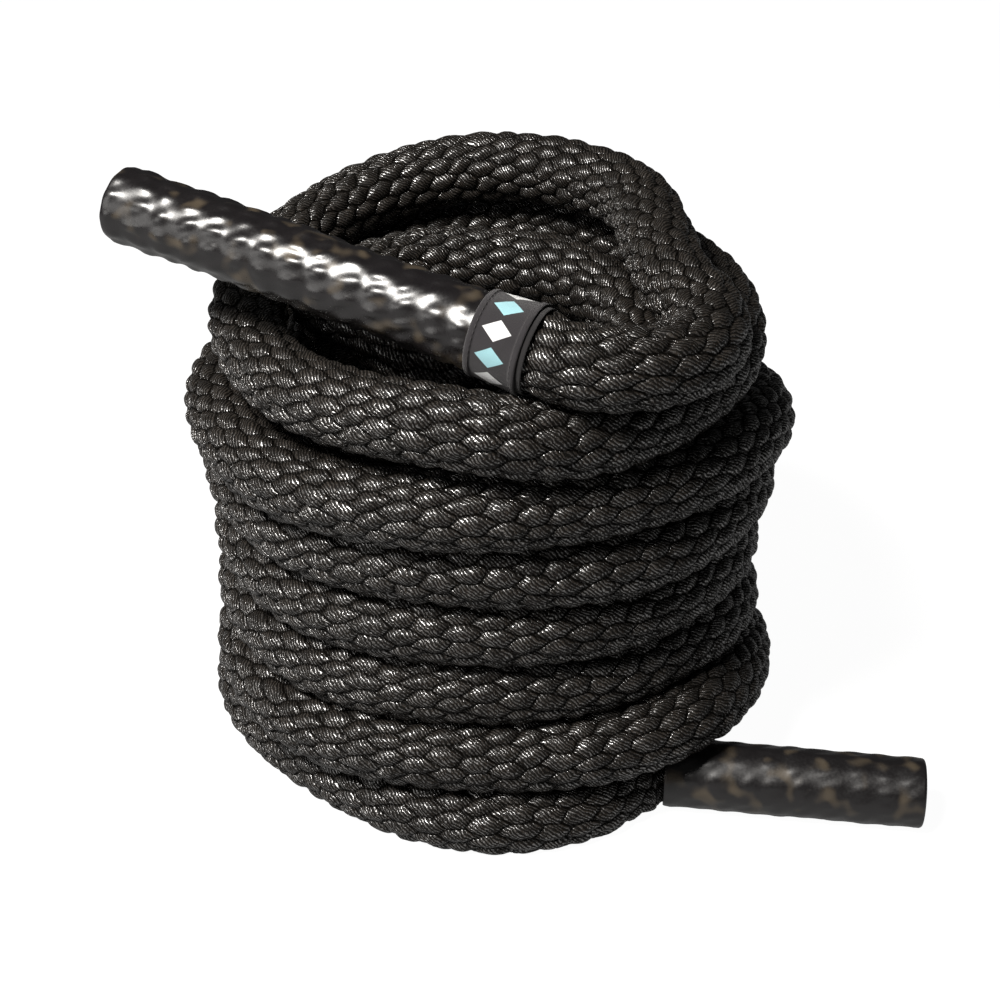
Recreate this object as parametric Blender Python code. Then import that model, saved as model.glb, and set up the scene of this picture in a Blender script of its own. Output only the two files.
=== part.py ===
"""A battle rope coiled on the floor, with a shrink-sleeved handle at each end.

Metres, +Z up. The rope starts in the lower handle on the floor, climbs as the outer wall of the
coil, goes down inside it, rises again through its middle and ends in the upper handle, which lies
on top. The origin is under the middle of the whole part's box, on the floor.
"""

from math import cos, pi, radians, sin, sqrt

import bpy
import numpy as np
from mathutils import Matrix, Vector

# The rope and how it is laid
ROPE_DIAMETER = 0.038
TURN_CLEARANCE = 0.0009
TOUCH_CLEARANCE = 0.0003
COIL_RADIUS = 0.151
FLAT_CUT_SHARE = 0.1
TURN_POINTS = 24
WALL_TURNS = 5.5
PILE_END = 11.75

# The lower handle lies on the floor and points away from the coil. Its mouth is in coil radii
LOWER_MOUTH_SHARES = (0.649007, -0.733775)
LOWER_HEADING = radians(-8)
LOWER_SLEEVE_LENGTH = 0.144
LOWER_STRAIGHT = 0.006

# The upper handle leaves the top turn, over the coil's rim: coil radii, and pitches of height
UPPER_MOUTH_SHARES = (0.132450, -0.940397, 7.192802)
UPPER_HEADING = radians(155.8)
UPPER_RISE = radians(10)
UPPER_SLEEVE_LENGTH = 0.227

# The shrink sleeve, and what it holds
SLEEVE_OVER_ROPE = 0.001
SLEEVE_WALL = 0.0011
SLEEVE_LIP = 0.003
SLEEVE_ROUNDING = 0.0016
BINDING_THICKNESS = 0.0004
BINDING_WIDTH = 0.030
CAP_THICKNESS = 0.004
CAP_PROUD = 0.0006
ROPE_TAPER = 0.006
MOUTH_TO_TAPER = 0.002

# The label strap round the upper handle's mouth
STRAP_WIDTH = 0.028
STRAP_THICKNESS = 0.0006
STRAP_FLARE = 0.0013
STRAP_TO_SLEEVE = 0.010
STRAP_TO_JOINT = 0.008
STRAIGHT_TO_STRAP = 0.024
LINING_THICKNESS = 0.0005
LINING_EDGE = 0.0025
LINING_TO_SLEEVE_CLEARANCE = 0.0004
HEM_WIDTH = 0.003
HEM_THICKNESS = 0.0004

# The cut that lays the bottom turn flat on the floor
CUT_OVERRUN = 0.020

SLEEVE_SIDES = 24
SETTLE_ROUNDS = 300
SETTLE_STEP_SHARE = 0.3
HANDLE_SPANS = 6
LEAD_STEPS = 3
NEAR_TURNS = 2.5
LOOK_TURNS = 3
GAP_STEPS = 4
SHARP_ANGLE = radians(40)

ROPE_RADIUS = ROPE_DIAMETER / 2
PITCH = ROPE_DIAMETER + TURN_CLEARANCE
FLOOR_HEIGHT = ROPE_RADIUS - FLAT_CUT_SHARE * ROPE_DIAMETER
SLEEVE_RADIUS = (ROPE_DIAMETER + SLEEVE_OVER_ROPE) / 2
SLEEVE_BORE = SLEEVE_RADIUS - SLEEVE_WALL
BINDING_RADIUS = SLEEVE_BORE - TOUCH_CLEARANCE
BOUND_ROPE_RADIUS = BINDING_RADIUS - BINDING_THICKNESS - TOUCH_CLEARANCE
LINING_BORE = SLEEVE_RADIUS + LINING_TO_SLEEVE_CLEARANCE
STRAP_BORE = LINING_BORE + LINING_THICKNESS + TOUCH_CLEARANCE
STRAP_RADIUS = STRAP_BORE + STRAP_FLARE + STRAP_THICKNESS + HEM_THICKNESS

# How far each outer turn leaves the round, in rope diameters, at these places of the turn
PLACE_SHARES = (-0.25, -0.125, 0.0, 0.125, 0.25, 0.5)
WALL_SHARES = (
    (0.0, -0.1, -0.15, -0.42, 0.0, -0.05),
    (-0.08, 0.0, -0.3, -0.1, -0.12, -0.1),
    (-0.3, -0.35, -0.48, -0.3, -0.18, -0.15),
    (-0.36, -0.38, -0.46, -0.3, -0.2, -0.15),
    (-0.2, -0.25, -0.35, -0.25, -0.1, -0.1),
    (-0.04, -0.1, -0.16, -0.05, 0.1, -0.15),
)
CLIMB_SHARES = (0.55, 0.86)

# The turns inside and on top: the turn, its radius in coil radii, its height in pitches
PILE_SHARES = (
    (5.75, 0.775, 5.12),
    (6.0, 0.635, 4.66),
    (6.25, 0.635, 4.30),
    (6.5, 0.615, 4.04),
    (6.75, 0.60, 3.73),
    (7.0, 0.50, 3.37),
    (7.25, 0.41, 3.11),
    (7.5, 0.365, 3.27),
    (7.75, 0.36, 3.53),
    (8.0, 0.36, 3.78),
    (8.25, 0.36, 4.04),
    (8.5, 0.36, 4.32),
    (8.75, 0.37, 4.76),
    (9.0, 0.50, 5.43),
    (9.125, 0.60, 5.85),
    (9.25, 0.625, 6.20),
    (9.375, 0.475, 6.36),
    (9.5, 0.365, 6.38),
    (9.625, 0.40, 6.30),
    (9.75, 0.51, 6.05),
    (10.0, 0.66, 5.15),
    (10.25, 0.66, 5.10),
    (10.375, 0.775, 5.84),
    (10.44, 0.83, 6.12),
    (10.5, 0.87, 6.25),
    (10.625, 0.87, 6.26),
    (10.75, 0.86, 6.20),
    (10.85, 0.91, 6.07),
    (11.0, 0.90, 5.95),
    (11.25, 0.905, 6.36),
    (11.5, 0.765, 7.38),
    (11.625, 0.69, 7.36),
    (11.75, 0.60, 7.28),
    (11.84, 0.73, 7.2),
)

# The last bend into the upper handle: places in coil radii, heights in pitches
UPPER_LEAD_SHARES = (
    (0.645, -0.397, 7.20),
    (0.715, -0.613, 7.12),
    (0.682, -0.848, 7.06),
    (0.48, -1.0, 7.06),
)

# The first bend out of the lower handle, in the same way
LOWER_LEAD_SHARES = (
    (0.464, -0.798, 0.03),
    (0.331, -0.89, 0),
    (0.166, -0.948, 0),
)


def clear_scene():
    for item in list(bpy.data.objects):
        bpy.data.objects.remove(item)


def make_material(name, colour, roughness):
    """A Principled material of this linear colour."""
    made = bpy.data.materials.new(name)
    made.use_nodes = True
    shader = made.node_tree.nodes["Principled BSDF"]
    shader.inputs["Base Color"].default_value = (*colour, 1)
    shader.inputs["Roughness"].default_value = roughness
    made.diffuse_color = (*colour, 1)
    return made


def unit(vector):
    vector = np.array(vector, float)
    return vector / np.linalg.norm(vector)


def smooth_value(knots, place):
    """The value at place of a smooth line through (place, value) knots."""
    places, values = np.array(knots, float).T
    slopes = np.gradient(values, places)
    i = int(np.clip(np.searchsorted(places, place) - 1, 0, len(places) - 2))
    span = places[i + 1] - places[i]
    t = (place - places[i]) / span
    ends = values[i] * (1 + 2 * t) * (1 - t) ** 2 + values[i + 1] * t * t * (3 - 2 * t)
    leans = slopes[i] * t * (1 - t) ** 2 - slopes[i + 1] * t * t * (1 - t)
    return float(ends + span * leans)


def coil_point(turn, radius, height):
    """Turns run clockwise seen from above, from the front."""
    angle = -pi / 2 - 2 * pi * turn
    return np.array((radius * cos(angle), radius * sin(angle), height))


def wall_turns():
    """The outer turns, each laid on the one below: (turn, radius, height) rows."""
    knots = [
        (turn + place, COIL_RADIUS + ROPE_DIAMETER * share)
        for turn, shares in enumerate(WALL_SHARES)
        for place, share in zip(PLACE_SHARES, shares)
    ]
    knots.append((PILE_SHARES[0][0], COIL_RADIUS * PILE_SHARES[0][1]))
    climb_start, climb_end = CLIMB_SHARES
    rows = {}
    for step in range(-TURN_POINTS // 4, int(WALL_TURNS * TURN_POINTS) + 1):
        turn = step / TURN_POINTS
        radius = smooth_value(knots, turn)
        below = rows.get(step - TURN_POINTS)
        if turn < climb_end or below is None:
            climb = min(max((turn - climb_start) / (climb_end - climb_start), 0), 1)
            height = FLOOR_HEIGHT + PITCH * climb * climb * (3 - 2 * climb)
        else:
            height = below[2] + sqrt(PITCH**2 - (radius - below[1]) ** 2)
        rows[step] = (turn, radius, height)
    return [rows[step] for step in sorted(rows) if step >= 0]


def pile_turns(wall):
    """The turns inside and on top of the wall, from the wall's end."""
    joined = wall[-1 - TURN_POINTS // 4], wall[-1]
    radii = [(turn, radius) for turn, radius, _ in joined]
    radii += [(turn, COIL_RADIUS * share) for turn, share, _ in PILE_SHARES]
    heights = [(turn, height) for turn, _, height in joined]
    heights += [(turn, FLOOR_HEIGHT + PITCH * share) for turn, _, share in PILE_SHARES]
    first = int(WALL_TURNS * TURN_POINTS) + 1
    turns = [step / TURN_POINTS for step in range(first, int(PILE_END * TURN_POINTS) + 1)]
    return [(turn, smooth_value(radii, turn), smooth_value(heights, turn)) for turn in turns]


def place_of(shares):
    """The point at these shares: across in coil radii, up in pitches from the bottom turn."""
    x, y, z = shares
    return np.array((COIL_RADIUS * x, COIL_RADIUS * y, FLOOR_HEIGHT + PITCH * z))


def lead_points(before, start, shares, end, after):
    """The points of a smooth lead from start by its way points to end."""
    ways = [place_of(row) for row in shares]
    knots = np.array([before, start, *ways, end, after])
    run = np.concatenate([[0], np.cumsum(np.linalg.norm(np.diff(knots, axis=0), axis=1))])
    lines = [list(zip(run, knots[:, side])) for side in range(3)]
    steps = np.arange(1, (len(ways) + 1) * LEAD_STEPS) / LEAD_STEPS + 1
    places = np.interp(steps, range(len(run)), run)
    return [np.array([smooth_value(line, place) for line in lines]) for place in places]


def lower_axis():
    """The lower handle's mouth, and the way to its free end."""
    x, y = LOWER_MOUTH_SHARES
    mouth = np.array((COIL_RADIUS * x, COIL_RADIUS * y, SLEEVE_RADIUS))
    return mouth, np.array((cos(LOWER_HEADING), sin(LOWER_HEADING), 0))


def upper_axis():
    """The upper handle's mouth, and the way to its free end."""
    level = cos(UPPER_RISE)
    way = np.array((level * cos(UPPER_HEADING), level * sin(UPPER_HEADING), sin(UPPER_RISE)))
    return place_of(UPPER_MOUTH_SHARES), way


def route():
    """The rope's centre line from one free end to the other, and which points lie in a handle."""
    lower_mouth, lower_way = lower_axis()
    upper_mouth, upper_way = upper_axis()
    wall = wall_turns()
    coil = [coil_point(*row) for row in wall + pile_turns(wall)]
    lower = handle_line(lower_mouth, lower_way, LOWER_SLEEVE_LENGTH)[::-1]
    lead_start = lower_mouth - lower_way * LOWER_STRAIGHT
    lead = lead_points(lower_mouth, lead_start, LOWER_LEAD_SHARES, coil[0], coil[1])
    lead.insert(0, lead_start)
    rise_end = upper_mouth - upper_way * STRAIGHT_TO_STRAP
    rise = lead_points(coil[-2], coil[-1], UPPER_LEAD_SHARES, rise_end, upper_mouth)
    rise += [rise_end, upper_mouth - upper_way * STRAP_TO_JOINT]
    upper = handle_line(upper_mouth, upper_way, STRAP_TO_SLEEVE + UPPER_SLEEVE_LENGTH)
    points = np.array(lower + lead + coil + rise + upper)
    held = np.zeros(len(points), bool)
    held[: len(lower) + 1] = True
    held[-len(upper) - 2 :] = True
    return points, held


def handle_line(start, way, length):
    """The points of a straight stretch inside a handle."""
    return [start + way * length * i / HANDLE_SPANS for i in range(HANDLE_SPANS + 1)]


def nearness(points, i, j):
    """From point i to its nearest place on the span from point j to the next."""
    span = points[j + 1] - points[j]
    share = ((points[i] - points[j]) * span).sum(1) / (span**2).sum(1)
    share = np.clip(share, 0, 1)[:, None]
    away = points[i] - points[j] - share * span
    return away, np.linalg.norm(away, axis=1), share


def settle(points, held):
    """Pushes stretches apart that lie closer than the rope is thick. The handles stay."""
    points = points.copy()
    run = np.concatenate([[0], np.cumsum(np.linalg.norm(np.diff(points, axis=0), axis=1))])
    radius = np.where(held, SLEEVE_RADIUS, ROPE_RADIUS)
    radius[-HANDLE_SPANS - 1 : -HANDLE_SPANS + 1] = STRAP_RADIUS
    i, j = np.meshgrid(np.arange(len(points)), np.arange(len(points) - 1), indexing="ij")
    apart = np.minimum(abs(run[i] - run[j]), abs(run[i] - run[j + 1])) > PITCH * NEAR_TURNS
    close = np.linalg.norm(points[i] - (points[j] + points[j + 1]) / 2, axis=2) < PITCH * LOOK_TURNS
    i, j = i[apart & close], j[apart & close]
    wanted = radius[i] + np.maximum(radius[j], radius[j + 1]) + TURN_CLEARANCE
    free = (~held)[:, None]
    for _ in range(SETTLE_ROUNDS):
        away, distance, share = nearness(points, i, j)
        short = np.maximum(wanted - distance, 0)
        push = away * (short / distance * SETTLE_STEP_SHARE)[:, None]
        move = np.zeros_like(points)
        np.add.at(move, i, push)
        np.add.at(move, j, -push * (1 - share))
        np.add.at(move, j + 1, -push * share)
        padded = np.pad(move, ((1, 1), (0, 0)), mode="edge")
        points += free * (padded[:-2] + 2 * padded[1:-1] + padded[2:]) / 4
        points[~held, 2] = np.maximum(points[~held, 2], FLOOR_HEIGHT)
    return points


def least_gap(points):
    """The least gap of a tube of the rope's diameter on these points to itself."""
    shares = [step / GAP_STEPS for step in range(GAP_STEPS)]
    fine = [a + (b - a) * share for a, b in zip(points, points[1:]) for share in shares]
    fine = np.array(fine + [points[-1]])
    run = np.concatenate([[0], np.cumsum(np.linalg.norm(np.diff(fine, axis=0), axis=1))])
    i, j = np.meshgrid(np.arange(len(fine)), np.arange(len(fine) - 1), indexing="ij")
    apart = np.minimum(abs(run[i] - run[j]), abs(run[i] - run[j + 1])) > PITCH * NEAR_TURNS
    _, distance, _ = nearness(fine, i[apart], j[apart])
    return distance.min() - ROPE_DIAMETER


def smooth_all(shape):
    for face in shape.polygons:
        face.use_smooth = True
    shape.set_sharp_from_angle(angle=SHARP_ANGLE)


def make_tube(name, points, radii, material, resolution):
    """A closed tube along the points, with its section upright."""
    curve = bpy.data.curves.new(name, "CURVE")
    curve.dimensions = "3D"
    curve.twist_mode = "Z_UP"
    curve.bevel_depth = ROPE_RADIUS
    curve.bevel_resolution = resolution
    curve.use_fill_caps = True
    spline = curve.splines.new("POLY")
    spline.points.add(len(points) - 1)
    for spot, point, radius in zip(spline.points, points, radii):
        spot.co = (*point, 1)
        spot.radius = radius / ROPE_RADIUS
    curve.materials.append(material)
    made = bpy.data.objects.new(name, curve)
    bpy.context.scene.collection.objects.link(made)
    return made


def make_turned(name, outline, start, way, material):
    """A turned solid. The outline's (radius, place) points run round its section, or from axis to axis."""
    vertices, faces = [], []
    closed = outline[0][0] > 0
    rings = []
    for radius, place in outline:
        if radius == 0:
            rings.append([len(vertices)] * SLEEVE_SIDES)
            vertices.append((0, 0, place))
            continue
        rings.append(list(range(len(vertices), len(vertices) + SLEEVE_SIDES)))
        for k in range(SLEEVE_SIDES):
            angle = 2 * pi * k / SLEEVE_SIDES
            vertices.append((radius * cos(angle), radius * sin(angle), place))
    pairs = list(zip(rings, rings[1:])) + ([(rings[-1], rings[0])] if closed else [])
    for low, high in pairs:
        for k in range(SLEEVE_SIDES):
            after = (k + 1) % SLEEVE_SIDES
            corners = (low[k], low[after], high[after], high[k])
            faces.append(tuple(dict.fromkeys(corners)))
    shape = bpy.data.meshes.new(name)
    shape.from_pydata(vertices, [], faces)
    shape.materials.append(material)
    smooth_all(shape)
    made = bpy.data.objects.new(name, shape)
    bpy.context.scene.collection.objects.link(made)
    turn = Vector(way).to_track_quat("Z", "Y").to_matrix().to_4x4()
    made.matrix_world = Matrix.Translation(start) @ turn
    return made


def make_handle(prefix, mouth, way, length, materials):
    """The sleeve, its end cap and the binding of the rope's end, from the sleeve's mouth outwards."""
    lip_bore = SLEEVE_BORE - SLEEVE_LIP
    cap_base = length - SLEEVE_WALL - TOUCH_CLEARANCE - CAP_THICKNESS
    cap_shoulder = cap_base + CAP_THICKNESS
    cap_front = length + CAP_PROUD
    nose = lip_bore - TOUCH_CLEARANCE
    round_in = SLEEVE_ROUNDING * (1 - sqrt(0.5))
    sleeve = make_turned(
        prefix + "_sleeve",
        [
            (SLEEVE_RADIUS, 0),
            (SLEEVE_RADIUS, length - SLEEVE_ROUNDING),
            (SLEEVE_RADIUS - round_in, length - round_in),
            (SLEEVE_RADIUS - SLEEVE_ROUNDING, length),
            (lip_bore, length),
            (lip_bore, length - SLEEVE_WALL),
            (SLEEVE_BORE, length - SLEEVE_WALL),
            (SLEEVE_BORE, 0),
        ],
        mouth,
        way,
        materials["sleeve"],
    )
    cap = make_turned(
        prefix + "_end_cap",
        [
            (0, cap_base),
            (SLEEVE_BORE - TOUCH_CLEARANCE, cap_base),
            (SLEEVE_BORE - TOUCH_CLEARANCE, cap_shoulder),
            (nose, cap_shoulder),
            (nose, cap_front - CAP_PROUD),
            (nose - CAP_PROUD, cap_front),
            (0, cap_front),
        ],
        mouth,
        way,
        materials["cap"],
    )
    binding_end = cap_base - TOUCH_CLEARANCE
    binding = make_turned(
        prefix + "_rope_binding",
        [
            (BINDING_RADIUS, binding_end - BINDING_WIDTH),
            (BINDING_RADIUS, binding_end),
            (BINDING_RADIUS - BINDING_THICKNESS, binding_end),
            (BINDING_RADIUS - BINDING_THICKNESS, binding_end - BINDING_WIDTH),
        ],
        mouth,
        way,
        materials["binding"],
    )
    return [sleeve, cap, binding]


def make_strap(mouth, way, materials):
    """The label strap and its lining, which flare from the sleeve's mouth over the rope."""
    flare = lambda place: STRAP_FLARE * (1 - place / STRAP_WIDTH)
    wide, narrow = -LINING_EDGE, STRAP_WIDTH - LINING_EDGE
    lining = make_turned(
        "strap_lining",
        [
            (LINING_BORE + LINING_THICKNESS + flare(wide), wide),
            (LINING_BORE + LINING_THICKNESS + flare(narrow), narrow),
            (LINING_BORE + flare(narrow), narrow),
            (LINING_BORE + flare(wide), wide),
        ],
        mouth,
        way,
        materials["lining"],
    )
    outer = STRAP_BORE + STRAP_THICKNESS
    outline = [(STRAP_BORE + flare(0), 0)]
    for place, thicker in (
        (0, HEM_THICKNESS),
        (HEM_WIDTH, HEM_THICKNESS),
        (HEM_WIDTH + HEM_THICKNESS, 0),
        (STRAP_WIDTH - HEM_WIDTH - HEM_THICKNESS, 0),
        (STRAP_WIDTH - HEM_WIDTH, HEM_THICKNESS),
        (STRAP_WIDTH, HEM_THICKNESS),
    ):
        outline.append((outer + thicker + flare(place), place))
    outline.append((STRAP_BORE + flare(STRAP_WIDTH), STRAP_WIDTH))
    strap = make_turned("label_strap", outline, mouth, way, materials["strap"])
    return [lining, strap]


def lay_flat(coil):
    """Cuts the underside of the bottom turn level with the floor."""
    size = COIL_RADIUS * 2 + ROPE_DIAMETER * 2 + CUT_OVERRUN
    shape = bpy.data.meshes.new("floor_cut")
    corners = [
        (x * size, y * size, z)
        for z in (-ROPE_DIAMETER, 0)
        for x, y in ((-0.5, -0.5), (0.5, -0.5), (0.5, 0.5), (-0.5, 0.5))
    ]
    faces = [(0, 3, 2, 1), (4, 5, 6, 7), (0, 1, 5, 4), (1, 2, 6, 5), (2, 3, 7, 6), (3, 0, 4, 7)]
    shape.from_pydata(corners, [], faces)
    cutter = bpy.data.objects.new("floor_cut", shape)
    cutter.hide_render = True
    cutter.display_type = "WIRE"
    bpy.context.scene.collection.objects.link(cutter)
    cut = coil.modifiers.new("lay flat", "BOOLEAN")
    cut.operation = "DIFFERENCE"
    cut.object = cutter
    return cutter


def as_mesh(tube):
    """The same tube as a mesh object, so that it can be cut."""
    graph = bpy.context.evaluated_depsgraph_get()
    shape = bpy.data.meshes.new_from_object(tube.evaluated_get(graph))
    name, curve = tube.name, tube.data
    bpy.data.objects.remove(tube)
    bpy.data.curves.remove(curve)
    shape.name = name
    smooth_all(shape)
    made = bpy.data.objects.new(name, shape)
    bpy.context.scene.collection.objects.link(made)
    return made


def make_empty(name, place):
    made = bpy.data.objects.new(name, None)
    made.location = place
    bpy.context.scene.collection.objects.link(made)
    return made


def parent_in_place(children, parent):
    bpy.context.view_layer.update()
    for child in children:
        child.parent = parent
        child.matrix_parent_inverse = parent.matrix_world.inverted()


def box_of(pieces):
    """The lowest and highest corners of these pieces."""
    bpy.context.view_layer.update()
    graph = bpy.context.evaluated_depsgraph_get()
    spots = []
    for piece in pieces:
        solid = piece.evaluated_get(graph)
        spots += [solid.matrix_world @ vertex.co for vertex in solid.to_mesh().vertices]
        solid.to_mesh_clear()
    return np.min(spots, axis=0), np.max(spots, axis=0)


def in_words(values):
    return " ".join(f"{value:.5f}" for value in values)


def main():
    clear_scene()
    rope = make_material("braided polyester", (0.012, 0.010, 0.009), 0.75)
    materials = {
        "sleeve": make_material("shrink sleeve", (0.010, 0.010, 0.011), 0.25),
        "cap": make_material("moulded end cap", (0.012, 0.012, 0.013), 0.4),
        "binding": make_material("cloth tape", (0.05, 0.05, 0.05), 0.8),
        "strap": make_material("woven strap", (0.035, 0.036, 0.040), 0.85),
        "lining": make_material("strap lining", (0.02, 0.02, 0.022), 0.85),
    }
    points, held = route()
    points = settle(points, held)
    lower_mouth, lower_way = lower_axis()
    upper_mouth, upper_way = upper_axis()

    first = HANDLE_SPANS
    last = len(points) - 1 - HANDLE_SPANS
    joint = points[last - 1]
    axis = unit(np.cross(upper_way, (0, 0, 1)))
    pivot = joint + np.cross(axis, upper_way) * ROPE_RADIUS

    coil_line = points[first:last].copy()
    coil_line[0] = lower_mouth - lower_way * TOUCH_CLEARANCE
    coil_line[-1] = joint - upper_way * TOUCH_CLEARANCE / 2
    coil = as_mesh(make_tube("rope_coil", coil_line, [ROPE_RADIUS] * len(coil_line), rope, 1))
    cutter = lay_flat(coil)

    hidden = SLEEVE_WALL + 2 * TOUCH_CLEARANCE + CAP_THICKNESS
    lower_line = handle_line(lower_mouth, lower_way, LOWER_SLEEVE_LENGTH - hidden)
    lower_radii = [BOUND_ROPE_RADIUS] * len(lower_line)
    lower_rope = make_tube("lower_rope_end", lower_line, lower_radii, rope, 2)
    lower = make_handle("lower", lower_mouth, lower_way, LOWER_SLEEVE_LENGTH, materials)

    sleeve_mouth = upper_mouth + upper_way * STRAP_TO_SLEEVE
    upper_line = [joint + upper_way * TOUCH_CLEARANCE / 2]
    upper_line.append(sleeve_mouth - upper_way * (ROPE_TAPER + MOUTH_TO_TAPER))
    upper_radii = [ROPE_RADIUS] * len(upper_line)
    taper_end = sleeve_mouth - upper_way * MOUTH_TO_TAPER
    in_handle = handle_line(taper_end, upper_way, MOUTH_TO_TAPER + UPPER_SLEEVE_LENGTH - hidden)
    upper_line += in_handle
    upper_radii += [BOUND_ROPE_RADIUS] * len(in_handle)
    upper_rope = make_tube("upper_rope_end", upper_line, upper_radii, rope, 2)
    upper = make_handle("upper", sleeve_mouth, upper_way, UPPER_SLEEVE_LENGTH, materials)
    upper += make_strap(upper_mouth, upper_way, materials)

    root_pieces = [coil, lower_rope, *lower]
    moving_pieces = [upper_rope, *upper]
    low, high = box_of(root_pieces + moving_pieces)
    middle = (low + high) / 2
    base = make_empty("battle_rope", (0, 0, 0))
    hinge = make_empty("upper_handle_pivot", pivot)
    parent_in_place(moving_pieces, hinge)
    parent_in_place([*root_pieces, cutter, hinge], base)
    base.location = (-middle[0], -middle[1], 0)
    shift = np.array((middle[0], middle[1], 0))

    spans = np.linalg.norm(np.diff(points, axis=0), axis=1)
    print("least gap of the rope to itself, mm:", round(1000 * least_gap(coil_line), 2))
    print("rope from end to end, m:", round(float(spans.sum()), 3))
    rest = points[first + 1 + LEAD_STEPS * (1 + len(LOWER_LEAD_SHARES)) + TURN_POINTS // 4] - shift
    print("coil axis at:", in_words(-shift))
    print("joint at:", in_words(pivot - shift), "axis:", in_words(axis))
    print("floor face at:", in_words(rest[:2]))


main()
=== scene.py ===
"""The looks of a coiled battle rope: its braid, its two shrink-sleeved grips and the label strap."""

from functools import partial
from math import cos, pi, radians, sin, sqrt

import bpy
import numpy as np
from mathutils import Matrix, Vector


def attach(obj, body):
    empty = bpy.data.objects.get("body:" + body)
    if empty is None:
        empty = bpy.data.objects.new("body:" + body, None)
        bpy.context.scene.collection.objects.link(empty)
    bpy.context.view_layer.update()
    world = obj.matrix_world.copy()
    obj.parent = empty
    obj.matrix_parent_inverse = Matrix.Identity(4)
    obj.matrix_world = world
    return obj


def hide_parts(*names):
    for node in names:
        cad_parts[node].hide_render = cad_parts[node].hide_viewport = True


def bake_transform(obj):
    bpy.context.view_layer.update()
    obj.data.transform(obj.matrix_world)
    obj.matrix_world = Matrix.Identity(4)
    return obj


bl_info = {
    "name": "Battle rope looks",
    "version": (1, 0, 0),
    "blender": (4, 5, 0),
    "location": "3D View > Sidebar > Battle rope",
    "description": "Dresses the packed battle rope with braid, grips and strap",
    "category": "Object",
}

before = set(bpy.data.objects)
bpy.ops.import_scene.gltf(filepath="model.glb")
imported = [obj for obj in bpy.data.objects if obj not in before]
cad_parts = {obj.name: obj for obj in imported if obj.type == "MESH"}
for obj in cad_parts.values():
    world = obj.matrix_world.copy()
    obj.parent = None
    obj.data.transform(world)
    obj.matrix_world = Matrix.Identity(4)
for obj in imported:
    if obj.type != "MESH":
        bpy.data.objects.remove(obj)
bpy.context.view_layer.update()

# The route of the rope, as the solid parts have it, in metres
ROPE_DIAMETER = 0.038
ROPE_RADIUS = ROPE_DIAMETER / 2
TURN_CLEARANCE = 0.0009
FLAT_CUT_SHARE = 0.1
PITCH = ROPE_DIAMETER + TURN_CLEARANCE
COIL_RADIUS = 0.151
FLOOR_HEIGHT = ROPE_RADIUS - FLAT_CUT_SHARE * ROPE_DIAMETER
TURN_POINTS = 24
WALL_TURNS = 5.5
PILE_END = 11.75
COIL_AXIS = np.array((-0.02121, 0.00254, 0))
SLEEVE_RADIUS = 0.0195
LOWER_MOUTH = np.array((0.098, -0.1108, SLEEVE_RADIUS))
LOWER_HEADING = radians(-8)
LOWER_LENGTH = 0.144
LOWER_STRAIGHT = 0.006
UPPER_MOUTH = np.array((0.020, -0.142, 0.295))
UPPER_HEADING = radians(155.8)
UPPER_RISE = radians(10)
UPPER_LENGTH = 0.227
STRAP_TO_SLEEVE = 0.010
STRAP_TO_JOINT = 0.008
STRAIGHT_TO_STRAP = 0.024
STRAP_RADIUS = 0.0225
HANDLE_SPANS = 6
LEAD_STEPS = 3
NEAR_TURNS = 2.5
LOOK_TURNS = 3
SETTLE_ROUNDS = 300
SETTLE_STEP_SHARE = 0.3
PLACE_SHARES = (-0.25, -0.125, 0.0, 0.125, 0.25, 0.5)
WALL_SHARES = (
    (0.0, -0.1, -0.15, -0.42, 0.0, -0.05),
    (-0.08, 0.0, -0.3, -0.1, -0.12, -0.1),
    (-0.3, -0.35, -0.48, -0.3, -0.18, -0.15),
    (-0.36, -0.38, -0.46, -0.3, -0.2, -0.15),
    (-0.2, -0.25, -0.35, -0.25, -0.1, -0.1),
    (-0.04, -0.1, -0.16, -0.05, 0.1, -0.15),
)
CLIMB_SHARES = (0.55, 0.86)
PILE_SHARES = (
    (5.75, 0.775, 5.12),
    (6.0, 0.635, 4.66),
    (6.25, 0.635, 4.30),
    (6.5, 0.615, 4.04),
    (6.75, 0.60, 3.73),
    (7.0, 0.50, 3.37),
    (7.25, 0.41, 3.11),
    (7.5, 0.365, 3.27),
    (7.75, 0.36, 3.53),
    (8.0, 0.36, 3.78),
    (8.25, 0.36, 4.04),
    (8.5, 0.36, 4.32),
    (8.75, 0.37, 4.76),
    (9.0, 0.50, 5.43),
    (9.125, 0.60, 5.85),
    (9.25, 0.625, 6.20),
    (9.375, 0.475, 6.36),
    (9.5, 0.365, 6.38),
    (9.625, 0.40, 6.30),
    (9.75, 0.51, 6.05),
    (10.0, 0.66, 5.15),
    (10.25, 0.66, 5.10),
    (10.375, 0.775, 5.84),
    (10.44, 0.83, 6.12),
    (10.5, 0.87, 6.25),
    (10.625, 0.87, 6.26),
    (10.75, 0.86, 6.20),
    (10.85, 0.91, 6.07),
    (11.0, 0.90, 5.95),
    (11.25, 0.905, 6.36),
    (11.5, 0.765, 7.38),
    (11.625, 0.69, 7.36),
    (11.75, 0.60, 7.28),
    (11.84, 0.73, 7.2),
)
UPPER_LEAD_SHARES = (
    (0.645, -0.397, 7.20),
    (0.715, -0.613, 7.12),
    (0.682, -0.848, 7.06),
    (0.48, -1.0, 7.06),
)
LOWER_LEAD_SHARES = ((0.464, -0.798, 0.03), (0.331, -0.89, 0), (0.166, -0.948, 0))

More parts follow.
